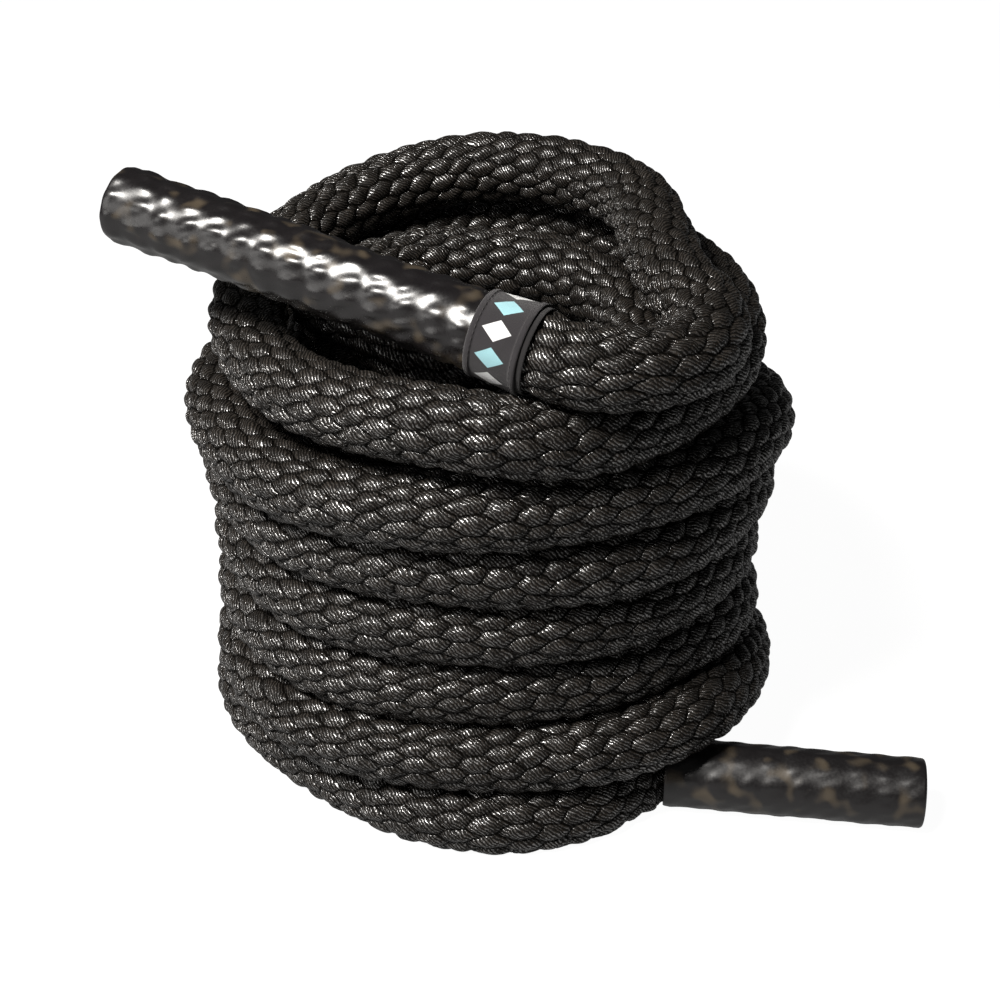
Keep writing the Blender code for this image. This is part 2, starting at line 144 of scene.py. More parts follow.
# How the centre line is smoothed, and how the braid is laid along it
LINE_STEP = 0.006
GRIP_REACH = 0.3
SMOOTH_ROUNDS = 14
SMOOTH_STEP_SHARES = (0.5, -0.53)
END_GAP = 0.006
BOUND_RADIUS = 0.0172
LOWER_SWELL_START = 0.001
LOWER_SWELL = 0.011
UPPER_SWELL = 0.009
END_STRETCH = 0.060
RINGS_PER_STRETCH = 1000
SUNK_SHARES = (0.05, 0.025, 0.008)
PATH_STEP = 4

# How finely the turned skins are made
GRIP_SIDES = 96
CAP_SIDES = 72
STRAP_SIDES = 144
SEAM_POINTS = 96

# The strap
STRAP_WIDTH = 0.028
STRAP_FLARE = 0.0014
STRAP_PRINT_RADIUS = 0.0229
SEAM_INSET = 0.0029
SEAM_RADIUS = 0.02215

# The stage
CAMERA_AIM = np.array((0, 0, 0.16))
CAMERA_SHIFT = (0.0073, -0.0381)
SENSOR_WIDTH = 36
FLOOR_REACH = 3

LOWER_WAY = np.array((cos(LOWER_HEADING), sin(LOWER_HEADING), 0))
UPPER_WAY = np.array(
    (cos(UPPER_RISE) * cos(UPPER_HEADING), cos(UPPER_RISE) * sin(UPPER_HEADING), sin(UPPER_RISE))
)


def run_of(points):
    """How far along the line each of its points is."""
    steps = np.linalg.norm(np.diff(points, axis=0), axis=1)
    return np.concatenate([[0], np.cumsum(steps)])


def smooth_line(knots, values, places):
    """The values at places of a smooth line through the knots."""
    knots, values = np.array(knots, float), np.array(values, float).reshape(len(knots), -1)
    slopes = np.gradient(values, knots, axis=0)
    i = np.clip(np.searchsorted(knots, places) - 1, 0, len(knots) - 2)
    span = (knots[i + 1] - knots[i])[:, None]
    t = (places - knots[i])[:, None] / span
    ends = values[i] * (1 + 2 * t) * (1 - t) ** 2 + values[i + 1] * t * t * (3 - 2 * t)
    return ends + span * (slopes[i] * t * (1 - t) ** 2 - slopes[i + 1] * t * t * (1 - t))


def one_value(knots, place):
    """The value at one place of the smooth line through (place, value) knots."""
    places, values = np.array(knots, float).T
    return float(smooth_line(places, values, np.array([place]))[0, 0])


def coil_point(turn, radius, height):
    angle = -pi / 2 - 2 * pi * turn
    return np.array((radius * cos(angle), radius * sin(angle), height))


def wall_turns():
    """The outer turns, each laid on the one below: (turn, radius, height) rows."""
    knots = [
        (turn + place, COIL_RADIUS + ROPE_DIAMETER * share)
        for turn, shares in enumerate(WALL_SHARES)
        for place, share in zip(PLACE_SHARES, shares)
    ]
    knots.append((PILE_SHARES[0][0], COIL_RADIUS * PILE_SHARES[0][1]))
    climb_start, climb_end = CLIMB_SHARES
    rows = {}
    for step in range(-TURN_POINTS // 4, int(WALL_TURNS * TURN_POINTS) + 1):
        turn = step / TURN_POINTS
        radius = one_value(knots, turn)
        below = rows.get(step - TURN_POINTS)
        if turn < climb_end or below is None:
            climb = min(max((turn - climb_start) / (climb_end - climb_start), 0), 1)
            height = FLOOR_HEIGHT + PITCH * climb * climb * (3 - 2 * climb)
        else:
            height = below[2] + sqrt(PITCH**2 - (radius - below[1]) ** 2)
        rows[step] = (turn, radius, height)
    return [rows[step] for step in sorted(rows) if step >= 0]


def pile_turns(wall):
    """The turns inside and on top of the wall, from the wall's end."""
    joined = wall[-1 - TURN_POINTS // 4], wall[-1]
    radii = [(turn, radius) for turn, radius, _ in joined]
    radii += [(turn, COIL_RADIUS * share) for turn, share, _ in PILE_SHARES]
    heights = [(turn, height) for turn, _, height in joined]
    heights += [(turn, FLOOR_HEIGHT + PITCH * share) for turn, _, share in PILE_SHARES]
    first = int(WALL_TURNS * TURN_POINTS) + 1
    turns = [step / TURN_POINTS for step in range(first, int(PILE_END * TURN_POINTS) + 1)]
    return [(turn, one_value(radii, turn), one_value(heights, turn)) for turn in turns]


def lead_points(before, start, shares, end, after):
    """The points between start and end of a stretch that leads from the coil to a grip, or back."""
    ways = [(COIL_RADIUS * x, COIL_RADIUS * y, FLOOR_HEIGHT + PITCH * z) for x, y, z in shares]
    knots = np.array([before, start, *ways, end, after])
    run = run_of(knots)
    steps = np.arange(1, (len(ways) + 1) * LEAD_STEPS) / LEAD_STEPS + 1
    return list(smooth_line(run, knots, np.interp(steps, range(len(run)), run)))


def route():
    """The rope's centre line from one free end to the other, and which points lie in a grip."""
    wall = wall_turns()
    coil = [coil_point(*row) for row in wall + pile_turns(wall)]
    shares = np.linspace(0, 1, HANDLE_SPANS + 1)[:, None]
    lower = list(LOWER_MOUTH + LOWER_WAY * LOWER_LENGTH * shares[::-1])
    lead_start = LOWER_MOUTH - LOWER_WAY * LOWER_STRAIGHT
    lead = lead_points(LOWER_MOUTH, lead_start, LOWER_LEAD_SHARES, coil[0], coil[1])
    rise_end = UPPER_MOUTH - UPPER_WAY * STRAIGHT_TO_STRAP
    rise = lead_points(coil[-2], coil[-1], UPPER_LEAD_SHARES, rise_end, UPPER_MOUTH)
    rise += [rise_end, UPPER_MOUTH - UPPER_WAY * STRAP_TO_JOINT]
    upper = list(UPPER_MOUTH + UPPER_WAY * (STRAP_TO_SLEEVE + UPPER_LENGTH) * shares)
    points = np.array(lower + [lead_start] + lead + coil + rise + upper)
    held = np.zeros(len(points), bool)
    held[: len(lower) + 1] = True
    held[-len(upper) - 2 :] = True
    return points, held


def settle(points, held):
    """Pushes stretches apart that lie closer than the rope is thick."""
    points = points.copy()
    run = run_of(points)
    radius = np.where(held, SLEEVE_RADIUS, ROPE_RADIUS)
    radius[-HANDLE_SPANS - 1 : -HANDLE_SPANS + 1] = STRAP_RADIUS
    i, j = np.meshgrid(np.arange(len(points)), np.arange(len(points) - 1), indexing="ij")
    apart = np.minimum(abs(run[i] - run[j]), abs(run[i] - run[j + 1])) > PITCH * NEAR_TURNS
    close = np.linalg.norm(points[i] - (points[j] + points[j + 1]) / 2, axis=2) < PITCH * LOOK_TURNS
    i, j = i[apart & close], j[apart & close]
    wanted = radius[i] + np.maximum(radius[j], radius[j + 1]) + TURN_CLEARANCE
    free = (~held)[:, None]
    for _ in range(SETTLE_ROUNDS):
        span = points[j + 1] - points[j]
        share = ((points[i] - points[j]) * span).sum(1) / (span**2).sum(1)
        share = np.clip(share, 0, 1)[:, None]
        away = points[i] - points[j] - share * span
        distance = np.linalg.norm(away, axis=1)
        push = away * (np.maximum(wanted - distance, 0) / distance * SETTLE_STEP_SHARE)[:, None]
        move = np.zeros_like(points)
        np.add.at(move, i, push)
        np.add.at(move, j, -push * (1 - share))
        np.add.at(move, j + 1, -push * share)
        padded = np.pad(move, ((1, 1), (0, 0)), mode="edge")
        points += free * (padded[:-2] + 2 * padded[1:-1] + padded[2:]) / 4
        points[~held, 2] = np.maximum(points[~held, 2], FLOOR_HEIGHT)
    return points


def rope_line(spacing):
    """The rope's smooth centre line in the part's frame, one point per spacing, short of both free ends."""
    points, held = route()
    points = settle(points, held) + COIL_AXIS
    run = run_of(points)
    places = np.linspace(0, run[-1], int(run[-1] / LINE_STEP))
    line = smooth_line(run, points, places)
    lower, upper = LOWER_MOUTH + COIL_AXIS, UPPER_MOUTH + COIL_AXIS
    in_lower = (places < GRIP_REACH) & ((line - lower) @ LOWER_WAY > 0)
    in_upper = (places > run[-1] - GRIP_REACH) & ((line - upper) @ UPPER_WAY > -STRAP_TO_JOINT)
    free = (~(in_lower | in_upper))[:, None]
    for _ in range(SMOOTH_ROUNDS):
        for share in SMOOTH_STEP_SHARES:
            middle = (line[:-2] + line[2:]) / 2 - line[1:-1]
            line[1:-1] += share * middle * free[1:-1]
    run = run_of(line)
    count = int((run[-1] - 2 * END_GAP) / spacing)
    return smooth_line(run, line, END_GAP + spacing * np.arange(count))


def linear(colour):
    """The linear colour of a written sRGB one."""
    found = []
    for k in (1, 3, 5):
        v = int(colour[k : k + 2], 16) / 255
        found.append(v / 12.92 if v <= 0.04045 else ((v + 0.055) / 1.055) ** 2.4)
    return (*found, 1)


# The kinds of node that are used most
MATH = "ShaderNodeMath"
VECTOR_MATH = "ShaderNodeVectorMath"
MAP_RANGE = "ShaderNodeMapRange"
NOISE = "ShaderNodeTexNoise"
MIX = "ShaderNodeMix"
BUMP = "ShaderNodeBump"
SEPARATE = "ShaderNodeSeparateXYZ"
COMBINE = "ShaderNodeCombineXYZ"
POSITION = "GeometryNodeInputPosition"
SET_POSITION = "GeometryNodeSetPosition"
ATTRIBUTE = "GeometryNodeInputNamedAttribute"
STORE = "GeometryNodeStoreNamedAttribute"


def feed(socket, given):
    """Gives the socket a value, or links it to an output or to the first one that a node shows."""
    if isinstance(given, bpy.types.Node):
        given = next(output for output in given.outputs if output.enabled)
    if isinstance(given, bpy.types.NodeSocket):
        socket.id_data.links.new(given, socket)
    else:
        socket.default_value = given


def add_node(tree, kind, inputs=(), **settings):
    """One node. Its inputs are given by name, or in the order in which the node shows them."""
    made = tree.nodes.new(kind)
    for name, value in settings.items():
        setattr(made, name, value)
    if isinstance(inputs, dict):
        pairs = [(made.inputs[name], given) for name, given in inputs.items()]
    else:
        pairs = zip([socket for socket in made.inputs if socket.enabled], inputs)
    for socket, given in pairs:
        feed(socket, given)
    return made


class Braid:
    """The lattice of the braid's lumps on the rope's surface, along it and round it."""

    rows = 12
    length = 0.0153
    crease_radius = 0.0185
    lump_height = 0.0028
    lump_fullness = 0.85
    slope = 0.209
    leaf_half_length = 0.0108
    leaf_half_width = 0.0060
    leaf_tilt = radians(-9.5)
    pattern_radius = 0.021
    rope_round = 2 * pi * pattern_radius

    @classmethod
    def form(cls):
        """(squeeze, along, across): the squared distance is along * w * w + across * y * y."""
        turn = np.array(((cos(cls.leaf_tilt), sin(cls.leaf_tilt)), (-sin(cls.leaf_tilt), cos(cls.leaf_tilt))))
        shift = cls.length / cls.rows
        row = cls.rope_round / cls.rows
        metric = np.array(((cls.length, shift), (cls.slope * cls.length, row + cls.slope * shift)))
        shares = np.diag((1 / cls.leaf_half_length, 1 / cls.leaf_half_width)) @ turn @ metric
        square = shares.T @ shares
        return square[0, 1] / square[0, 0], square[0, 0], square[1, 1] - square[0, 1] ** 2 / square[0, 0]


def lump_reach(node, place, around, stray):
    """How far out in its lump a place is: 0 at the lump's middle, 1 in the crease round it."""
    squeeze, along, across = Braid.form()
    turn = node(MATH, (around, float(Braid.rows)), operation="MULTIPLY")
    x = node(MATH, (place, Braid.length), operation="DIVIDE")
    x = node(MATH, (turn, -1 / Braid.rows, x), operation="MULTIPLY_ADD")
    x = node(MATH, (x, stray[0]), operation="ADD")
    y = node(MATH, (turn, stray[1]), operation="ADD")
    here = node(MATH, (y, node(MATH, (y,), operation="ROUND")), operation="SUBTRACT")
    farthest_square = 100.0
    nearest, second = None, farthest_square
    for step in (-1.0, 0.0, 1.0):
        off = node(MATH, (here, step), operation="SUBTRACT")
        t = node(MATH, (off, squeeze, x), operation="MULTIPLY_ADD")
        gap = node(MATH, (t, node(MATH, (t,), operation="ROUND")), operation="SUBTRACT")
        gap = node(MATH, (gap,), operation="ABSOLUTE")
        side = node(MATH, (off, off), operation="MULTIPLY")
        side = node(MATH, (side, across), operation="MULTIPLY")
        for way in (gap, node(MATH, (1.0, gap), operation="SUBTRACT")):
            ahead = node(MATH, (way, way), operation="MULTIPLY")
            ahead = node(MATH, (ahead, along), operation="MULTIPLY")
            found = node(MATH, (ahead, side), operation="ADD")
            if nearest is None:
                nearest = found
                continue
            farther = node(MATH, (nearest, found), operation="MAXIMUM")
            second = node(MATH, (second, farther), operation="MINIMUM")
            nearest = node(MATH, (nearest, found), operation="MINIMUM")
    first, other = (node(MATH, (square,), operation="SQRT") for square in (nearest, second))
    double = node(MATH, (first, 2.0), operation="MULTIPLY")
    both = node(MATH, (first, other), operation="ADD")
    return node(MATH, (double, both), operation="DIVIDE")


def stray_shares(node, spot, shifts, noise_inputs, unevenness):
    """Uneven values, up to half the unevenness either way, from noise read at shifted places."""
    shares = []
    for shift in shifts:
        moved = node(VECTOR_MATH, (spot, (shift, 0.0, 0.0)), operation="ADD")
        value = node(NOISE, {"Vector": moved, **noise_inputs})
        value = node(MATH, (value, 0.5), operation="SUBTRACT")
        shares.append(node(MATH, (value, unevenness), operation="MULTIPLY"))
    return shares


def new_group(name, sockets):
    """Starts a geometry node group: what adds a node to it, its named inputs and its output node."""
    tree = bpy.data.node_groups.new(name, "GeometryNodeTree")
    tree.interface.new_socket("Geometry", in_out="INPUT", socket_type="NodeSocketGeometry")
    for title, kind, value in sockets:
        made = tree.interface.new_socket(title, in_out="INPUT", socket_type=kind)
        if value is not None:
            made.default_value = value
    tree.interface.new_socket("Geometry", in_out="OUTPUT", socket_type="NodeSocketGeometry")
    node = partial(add_node, tree)
    return node, node("NodeGroupInput").outputs, node("NodeGroupOutput")


def finish_group(node, geometry, leave, material):
    """Realises what the group made, gives it its material and hands the group back."""
    real = node("GeometryNodeRealizeInstances", {"Geometry": geometry})
    smooth = node("GeometryNodeSetShadeSmooth", {"Geometry": real})
    dressed = node("GeometryNodeSetMaterial", {"Geometry": smooth, "Material": material})
    feed(leave.inputs["Geometry"], dressed)
    return leave.id_data


def lifted(node, geometry, way, lift, floor):
    """Moves the surface by the lift along the way, and up to the floor's height where it lies lower."""
    offset = node(VECTOR_MATH, (way, lift), operation="SCALE")
    geometry = node(SET_POSITION, {"Geometry": geometry, "Offset": offset})
    x, y, z = node(SEPARATE, (node(POSITION),)).outputs
    spot = node(COMBINE, (x, y, node(MATH, (z, floor), operation="MAXIMUM")))
    return node(SET_POSITION, {"Geometry": geometry, "Position": spot})


def braided_rope_group():
    """Sweeps the braid along a line of points that know their place and width."""
    node, given, leave = new_group(
        "Braided rope",
        [
            ("Points round", "NodeSocketInt", 72),
            ("Crease radius", "NodeSocketFloat", Braid.crease_radius),
            ("Lump height", "NodeSocketFloat", Braid.lump_height),
            ("Twist per metre", "NodeSocketFloat", 1.0),
            ("Unevenness", "NodeSocketFloat", 0.9),
            ("Floor", "NodeSocketFloat", 0.0004),
            ("Material", "NodeSocketMaterial", None),
        ],
    )
    spot = node(POSITION)
    place = node(ATTRIBUTE, ("place",), data_type="FLOAT")
    width = node(ATTRIBUTE, ("width",), data_type="FLOAT")

    line = node("GeometryNodeMeshToCurve", (given["Geometry"],))
    line = node(STORE, {"Geometry": line, "Name": "middle", "Value": spot}, data_type="FLOAT_VECTOR")
    line = node("GeometryNodeSetCurveNormal", {"Curve": line}, mode="Z_UP")
    tilt = node(MATH, (place, given["Twist per metre"]), operation="MULTIPLY")
    line = node("GeometryNodeSetCurveTilt", {"Curve": line, "Tilt": tilt})
    size = (given["Points round"], given["Crease radius"])
    ring = node("GeometryNodeCurvePrimitiveCircle", size, mode="RADIUS")
    share = node(MATH, (node("GeometryNodeInputIndex"), given["Points round"]), operation="DIVIDE")
    ring = node(STORE, {"Geometry": ring, "Name": "around", "Value": share}, data_type="FLOAT")
    sweep = {"Curve": line, "Profile Curve": ring, "Scale": width, "Fill Caps": True}
    tube = node("GeometryNodeCurveToMesh", sweep)

    # Patches of strayed lumps, about 24 mm across
    uneven = {"Scale": 42.0, "Detail": 2.0, "Roughness": 0.6}
    stray = stray_shares(node, spot, (0.0, 7.3), uneven, given["Unevenness"])
    kept = node(COMBINE, stray)
    tube = node(STORE, {"Geometry": tube, "Name": "stray", "Value": kept}, data_type="FLOAT_VECTOR")
    around = node(ATTRIBUTE, ("around",), data_type="FLOAT")
    reach = node(MATH, (lump_reach(node, place, around, stray), 1.0), operation="MINIMUM")
    hollow = node(MATH, (reach, 2.0), operation="POWER")
    dome = node(MATH, (1.0, hollow), operation="SUBTRACT")
    dome = node(MATH, (dome, Braid.lump_fullness), operation="POWER")
    lift = node(MATH, (dome, given["Lump height"]), operation="MULTIPLY")
    lift = node(MATH, (lift, width), operation="MULTIPLY")
    middle = node(ATTRIBUTE, ("middle",), data_type="FLOAT_VECTOR")
    way = node(VECTOR_MATH, (spot, middle), operation="SUBTRACT")
    way = node(VECTOR_MATH, (way,), operation="NORMALIZE")
    tube = lifted(node, tube, way, lift, given["Floor"])
    return finish_group(node, tube, leave, given["Material"])


def grip_relief_group():
    """Lets the braid under a shrink sleeve show through it as soft lumps."""
    node, given, leave = new_group(
        "Grip relief",
        [
            ("Lump height", "NodeSocketFloat", 0.00055),
            ("Dent height", "NodeSocketFloat", 0.0005),
            ("Floor", "NodeSocketFloat", 0.0003),
            ("Material", "NodeSocketMaterial", None),
        ],
    )
    spot = node(POSITION)
    place = node(ATTRIBUTE, ("place",), data_type="FLOAT")
    around = node(ATTRIBUTE, ("around",), data_type="FLOAT")
    relief = node(ATTRIBUTE, ("relief",), data_type="FLOAT")

    # Patches of strayed lumps, 25 mm across
    uneven = {"Scale": 40.0, "Detail": 1.0}
    stray = stray_shares(node, spot, (0.0, 3.1), uneven, 0.9)
    y = node(MATH, (around, float(Braid.rows)), operation="MULTIPLY")
    y = node(MATH, (y, stray[0]), operation="ADD")
    x = node(MATH, (place, Braid.length), operation="DIVIDE")
    x = node(MATH, (x, stray[1]), operation="ADD")
    x = node(MATH, (y, -1 / Braid.rows, x), operation="MULTIPLY_ADD")
    waves = []
    for way in (x, y, node(MATH, (x, y), operation="ADD")):
        angle = node(MATH, (way, 2 * pi), operation="MULTIPLY")
        waves.append(node(MATH, (angle,), operation="COSINE"))
    total = node(MATH, waves[:2], operation="ADD")
    total = node(MATH, (total, waves[2]), operation="ADD")
    lumps = node(MAP_RANGE, (total, -1.5, 3.0), interpolation_type="SMOOTHSTEP")
    lift = node(MATH, (lumps, given["Lump height"]), operation="MULTIPLY")
    # Dents 21 mm across
    dents = node(NOISE, {"Vector": spot, "Scale": 48.0, "Detail": 0.0})
    dents = node(MATH, (dents, 0.5), operation="SUBTRACT")
    dents = node(MATH, (dents, given["Dent height"]), operation="MULTIPLY")
    lift = node(MATH, (lift, dents), operation="ADD")
    lift = node(MATH, (lift, relief), operation="MULTIPLY")
    way = node("GeometryNodeInputNormal")
    skin = lifted(node, given["Geometry"], way, lift, given["Floor"])
    return finish_group(node, skin, leave, given["Material"])


def stitch_row_group():
    """Sets one stitch on each point of a ring, along it."""
    node, given, leave = new_group(
        "Stitch row",
        [
            ("Stitches", "NodeSocketInt", 44),
            ("Length", "NodeSocketFloat", 0.0022),
            ("Thickness", "NodeSocketFloat", 0.0004),
            ("Material", "NodeSocketMaterial", None),
        ],
    )
    line = node("GeometryNodeMeshToCurve", (given["Geometry"],))
    line = node("GeometryNodeResampleCurve", {"Curve": line, "Count": given["Stitches"]})
    ball = node("GeometryNodeMeshUVSphere", {"Segments": 8, "Rings": 6, "Radius": 0.5})
    tangent = {"Vector": node("GeometryNodeInputTangent")}
    aligned = node("FunctionNodeAlignRotationToVector", tangent, axis="X")
    size = node(COMBINE, (given["Length"], given["Thickness"], given["Thickness"]))
    row = {"Points": line, "Instance": ball, "Rotation": aligned, "Scale": size}
    return finish_group(node, node("GeometryNodeInstanceOnPoints", row), leave, given["Material"])


def grow(obj, group, **inputs):
    """Runs the group on the object and keeps what it makes as a plain mesh."""
    modifier = obj.modifiers.new(group.name, "NODES")
    modifier.node_group = group
    sockets = [item for item in group.interface.items_tree if item.in_out == "INPUT"]
    names = {item.name: item.identifier for item in sockets}
    for title, value in inputs.items():
        modifier[names[title.replace("_", " ")]] = value
    graph = bpy.context.evaluated_depsgraph_get()
    shape = bpy.data.meshes.new_from_object(obj.evaluated_get(graph))
    obj.modifiers.remove(modifier)
    old = obj.data
    obj.data = shape
    shape.name = obj.name
    bpy.data.meshes.remove(old)


def new_object(name, vertices, edges=(), faces=()):
    """A mesh object that is linked to the scene."""
    shape = bpy.data.meshes.new(name)
    shape.from_pydata(vertices, edges, faces)
    made = bpy.data.objects.new(name, shape)
    bpy.context.scene.collection.objects.link(made)
    return made


def put_attribute(shape, name, values):
    shape.attributes.new(name, "FLOAT", "POINT").data.foreach_set("value", np.array(values, np.float32))


def get_attribute(shape, name):
    values = np.empty(len(shape.vertices), np.float32)
    shape.attributes[name].data.foreach_get("value", values)
    return values


def put_uv(shape, round_length):
    """A UV map in metres: along the piece, and round it without a break inside a face."""
    corners = np.empty(len(shape.loops), np.int32)
    shape.loops.foreach_get("vertex_index", corners)
    starts = np.empty(len(shape.polygons), np.int32)
    shape.polygons.foreach_get("loop_start", starts)
    place, around = get_attribute(shape, "place")[corners], get_attribute(shape, "around")[corners]
    face = np.repeat(np.arange(len(starts)), np.diff(np.append(starts, len(corners))))
    highest = np.maximum.reduceat(around, starts)[face]
    around = np.where((highest > 0.75) & (around < 0.25), around + 1, around)
    layer = shape.uv_layers.new(name="surface")
    layer.data.foreach_set("uv", np.stack([place, around * round_length], axis=1).ravel())


def turn_out(shape):
    """Turns the mesh's faces out, whichever way they were made."""
    shape.calc_loop_triangles()
    spots = np.empty(len(shape.vertices) * 3, np.float32)
    shape.vertices.foreach_get("co", spots)
    spots = spots.reshape(-1, 3).astype(float)
    corners = np.empty(len(shape.loop_triangles) * 3, np.int32)
    shape.loop_triangles.foreach_get("vertices", corners)
    a, b, c = spots[corners.reshape(-1, 3)].transpose(1, 0, 2)
    if (np.cross(a, b) * c).sum() < 0:
        shape.flip_normals()


def new_material(name):
    """Starts a material: it, what adds a node to it and its shader."""
    made = bpy.data.materials.new(name)
    made.use_nodes = True
    return made, partial(add_node, made.node_tree), made.node_tree.nodes["Principled BSDF"]


def set_shader(shader, **inputs):
    """Sets or links the shader's sockets, named with _ for a space."""
    for name, given in inputs.items():
        feed(shader.inputs[name.replace("_", " ")], given)


def braid_material(settings):
    """Braided polyester: dark filament yarns laid slantwise in each lump, that glint in places.

    The yarns are 1.7 mm apart, coarser than real filament, so that they show.
    """
    made, node, shader = new_material("Braided polyester")
    yarn_spacing = 0.0017
    along, across, _ = node(SEPARATE, (node("ShaderNodeUVMap", uv_map="surface"),)).outputs
    spot = node("ShaderNodeTexCoord").outputs["Object"]
    stray = node("ShaderNodeAttribute", attribute_name="stray").outputs["Vector"]
    around = node(MATH, (across, Braid.rope_round), operation="DIVIDE")
    reach = lump_reach(node, along, around, node(SEPARATE, (stray,)).outputs)
    crease = node(MAP_RANGE, (reach, 0.82, 1.0), interpolation_type="SMOOTHSTEP")

    lean = node(MATH, (across, -1.0), operation="MULTIPLY")
    lean = node(MATH, (along, 1 - Braid.slope, lean), operation="MULTIPLY_ADD")
    # The yarns waver every 5 mm
    bend = node(NOISE, {"Vector": spot, "Scale": 210.0, "Detail": 2.0})
    bend = node(MATH, (bend, 2.0), operation="MULTIPLY")
    phase = node(MATH, (lean, 1 / (sqrt(2) * yarn_spacing), bend), operation="MULTIPLY_ADD")
    ridge = node(MATH, (phase, pi), operation="MULTIPLY")
    ridge = node(MATH, (ridge,), operation="SINE")
    ridge = node(MATH, (ridge,), operation="ABSOLUTE")
    yarn = node(MAP_RANGE, (ridge, 0.4, 0.97), interpolation_type="SMOOTHSTEP")

    # Lighter patches 11 mm across and specks of 1 mm
    patch = node(NOISE, {"Vector": spot, "Scale": 95.0, "Detail": 3.0, "Roughness": 0.6})
    patch = node(MAP_RANGE, (patch, 0.38, 0.62), interpolation_type="SMOOTHSTEP")
    speck = node(NOISE, {"Vector": spot, "Scale": 950.0, "Detail": 2.0, "Roughness": 0.7})
    # Painted shade: the tone falls to 15% in the creases between lumps; the same share also lowers the shine
    # there
    open_share = node(MAP_RANGE, (crease, 0.0, 1.0, 1.0, 0.15), interpolation_type="SMOOTHSTEP")
    # Painted highlight and shade: the yarns' ridges are lighter and the gaps between them darker in tone,
    # besides the bump
    yarn_tone = node(MATH, (yarn, 0.75, 0.1), operation="MULTIPLY_ADD")
    patch_tone = node(MAP_RANGE, (patch, 0.0, 1.0, 0.55, 1.1), interpolation_type="SMOOTHSTEP")
    tone = node(MATH, (yarn_tone, patch_tone), operation="MULTIPLY")
    tone = node(MATH, (tone, open_share), operation="MULTIPLY")
    colour = node(MIX, (tone, settings.dark_colour, settings.ridge_highlight_colour), data_type="RGBA")

    speck_gloss = node(MAP_RANGE, (speck, 0.4, 0.62), interpolation_type="SMOOTHSTEP")
    patch_gloss = node(MAP_RANGE, (patch, 0.0, 1.0, 0.5, 1.1), interpolation_type="SMOOTHSTEP")
    gloss = node(MATH, (speck_gloss, yarn), operation="MULTIPLY")
    gloss = node(MATH, (gloss, patch_gloss), operation="MULTIPLY")
    rough = node(MAP_RANGE, (gloss, 0.0, 0.6, 0.5, 0.32), interpolation_type="SMOOTHSTEP")
    shine = node(MAP_RANGE, (gloss, 0.0, 0.7, 0.05, 1.0), interpolation_type="SMOOTHSTEP")
    shine = node(MATH, (shine, open_share), operation="MULTIPLY")
    height = node(MATH, (speck, 0.3, yarn), operation="MULTIPLY_ADD")
    height = node(MATH, (crease, -1.0, height), operation="MULTIPLY_ADD")
    relief = node(BUMP, {"Height": height, "Strength": 1.0, "Distance": 0.0005})
    set_shader(shader, Base_Color=colour, Roughness=rough, IOR=2.15, Normal=relief)
    set_shader(shader, Specular_IOR_Level=shine)
    return made


def sleeve_material(name, settings, sharpest, dullest, shine):
    """Heat-shrunk polyolefin sleeve: glossy black, with brownish blotches about 13 mm apart that are painted
    reflections.

    It has ripples of 5 mm and faint scuffs of 1.7 mm.
    """
    made, node, shader = new_material(name)
    spot = node("ShaderNodeTexCoord").outputs["Object"]
    # Painted reflection: brownish blotches about 13 mm apart, mixed into the colour in place of warm
    # reflections
    blotch = node(NOISE, {"Vector": spot, "Scale": 75.0, "Detail": 1.0})
    blotch = node(MAP_RANGE, (blotch, 0.53, 0.74), interpolation_type="SMOOTHSTEP")
    colour = node(MIX, (blotch, settings.sleeve_colour, settings.painted_reflection_colour), data_type="RGBA")
    scuff = node(NOISE, {"Vector": spot, "Scale": 600.0, "Detail": 3.0, "Roughness": 0.7})
    worn = (scuff, 0.35, 0.75, sharpest, dullest)
    rough = node(MAP_RANGE, worn, interpolation_type="SMOOTHSTEP")
    ripple = node(NOISE, {"Vector": spot, "Scale": 190.0, "Detail": 1.0})
    height = node(MATH, (scuff, 0.02, ripple), operation="MULTIPLY_ADD")
    relief = node(BUMP, {"Height": height, "Strength": 0.08, "Distance": 0.0004})
    set_shader(shader, Base_Color=colour, Roughness=rough, Specular_IOR_Level=shine, Normal=relief)
    return made


def cap_material():
    """Moulded end cap: satin black plastic with a fine spark-eroded grain of half a millimetre."""
    made, node, shader = new_material("Moulded end cap")
    spot = node("ShaderNodeTexCoord").outputs["Object"]
    cloud = node(NOISE, {"Vector": spot, "Scale": 60.0, "Detail": 2.0})
    colour = node(MIX, (cloud, linear("#121213"), linear("#1d1d1e")), data_type="RGBA")
    grain = node(NOISE, {"Vector": spot, "Scale": 2200.0, "Detail": 2.0})
    rough = node(MAP_RANGE, (grain, 0.3, 0.7, 0.38, 0.52), interpolation_type="SMOOTHSTEP")
    relief = node(BUMP, {"Height": grain, "Strength": 0.5, "Distance": 0.0001})
    set_shader(shader, Base_Color=colour, Roughness=rough, Normal=relief)
    return made


def tape_material():
    """Cloth tape on the cut rope ends: grey, with threads of 1 mm. It lies inside the grips, unseen."""
    made, node, shader = new_material("Cloth tape")
    spot = node("ShaderNodeTexCoord").outputs["Object"]
    threads = node("ShaderNodeTexWave", {"Vector": spot, "Scale": 300.0, "Distortion": 1.0}).outputs["Fac"]
    colour = node(MIX, (threads, linear("#3a3a3a"), linear("#5c5b59")), data_type="RGBA")
    rough = node(MAP_RANGE, (threads, 0.0, 1.0, 0.9, 0.75), interpolation_type="SMOOTHSTEP")
    relief = node(BUMP, {"Height": threads, "Strength": 0.5, "Distance": 0.0001})
    set_shader(shader, Base_Color=colour, Roughness=rough, Normal=relief)
    return made


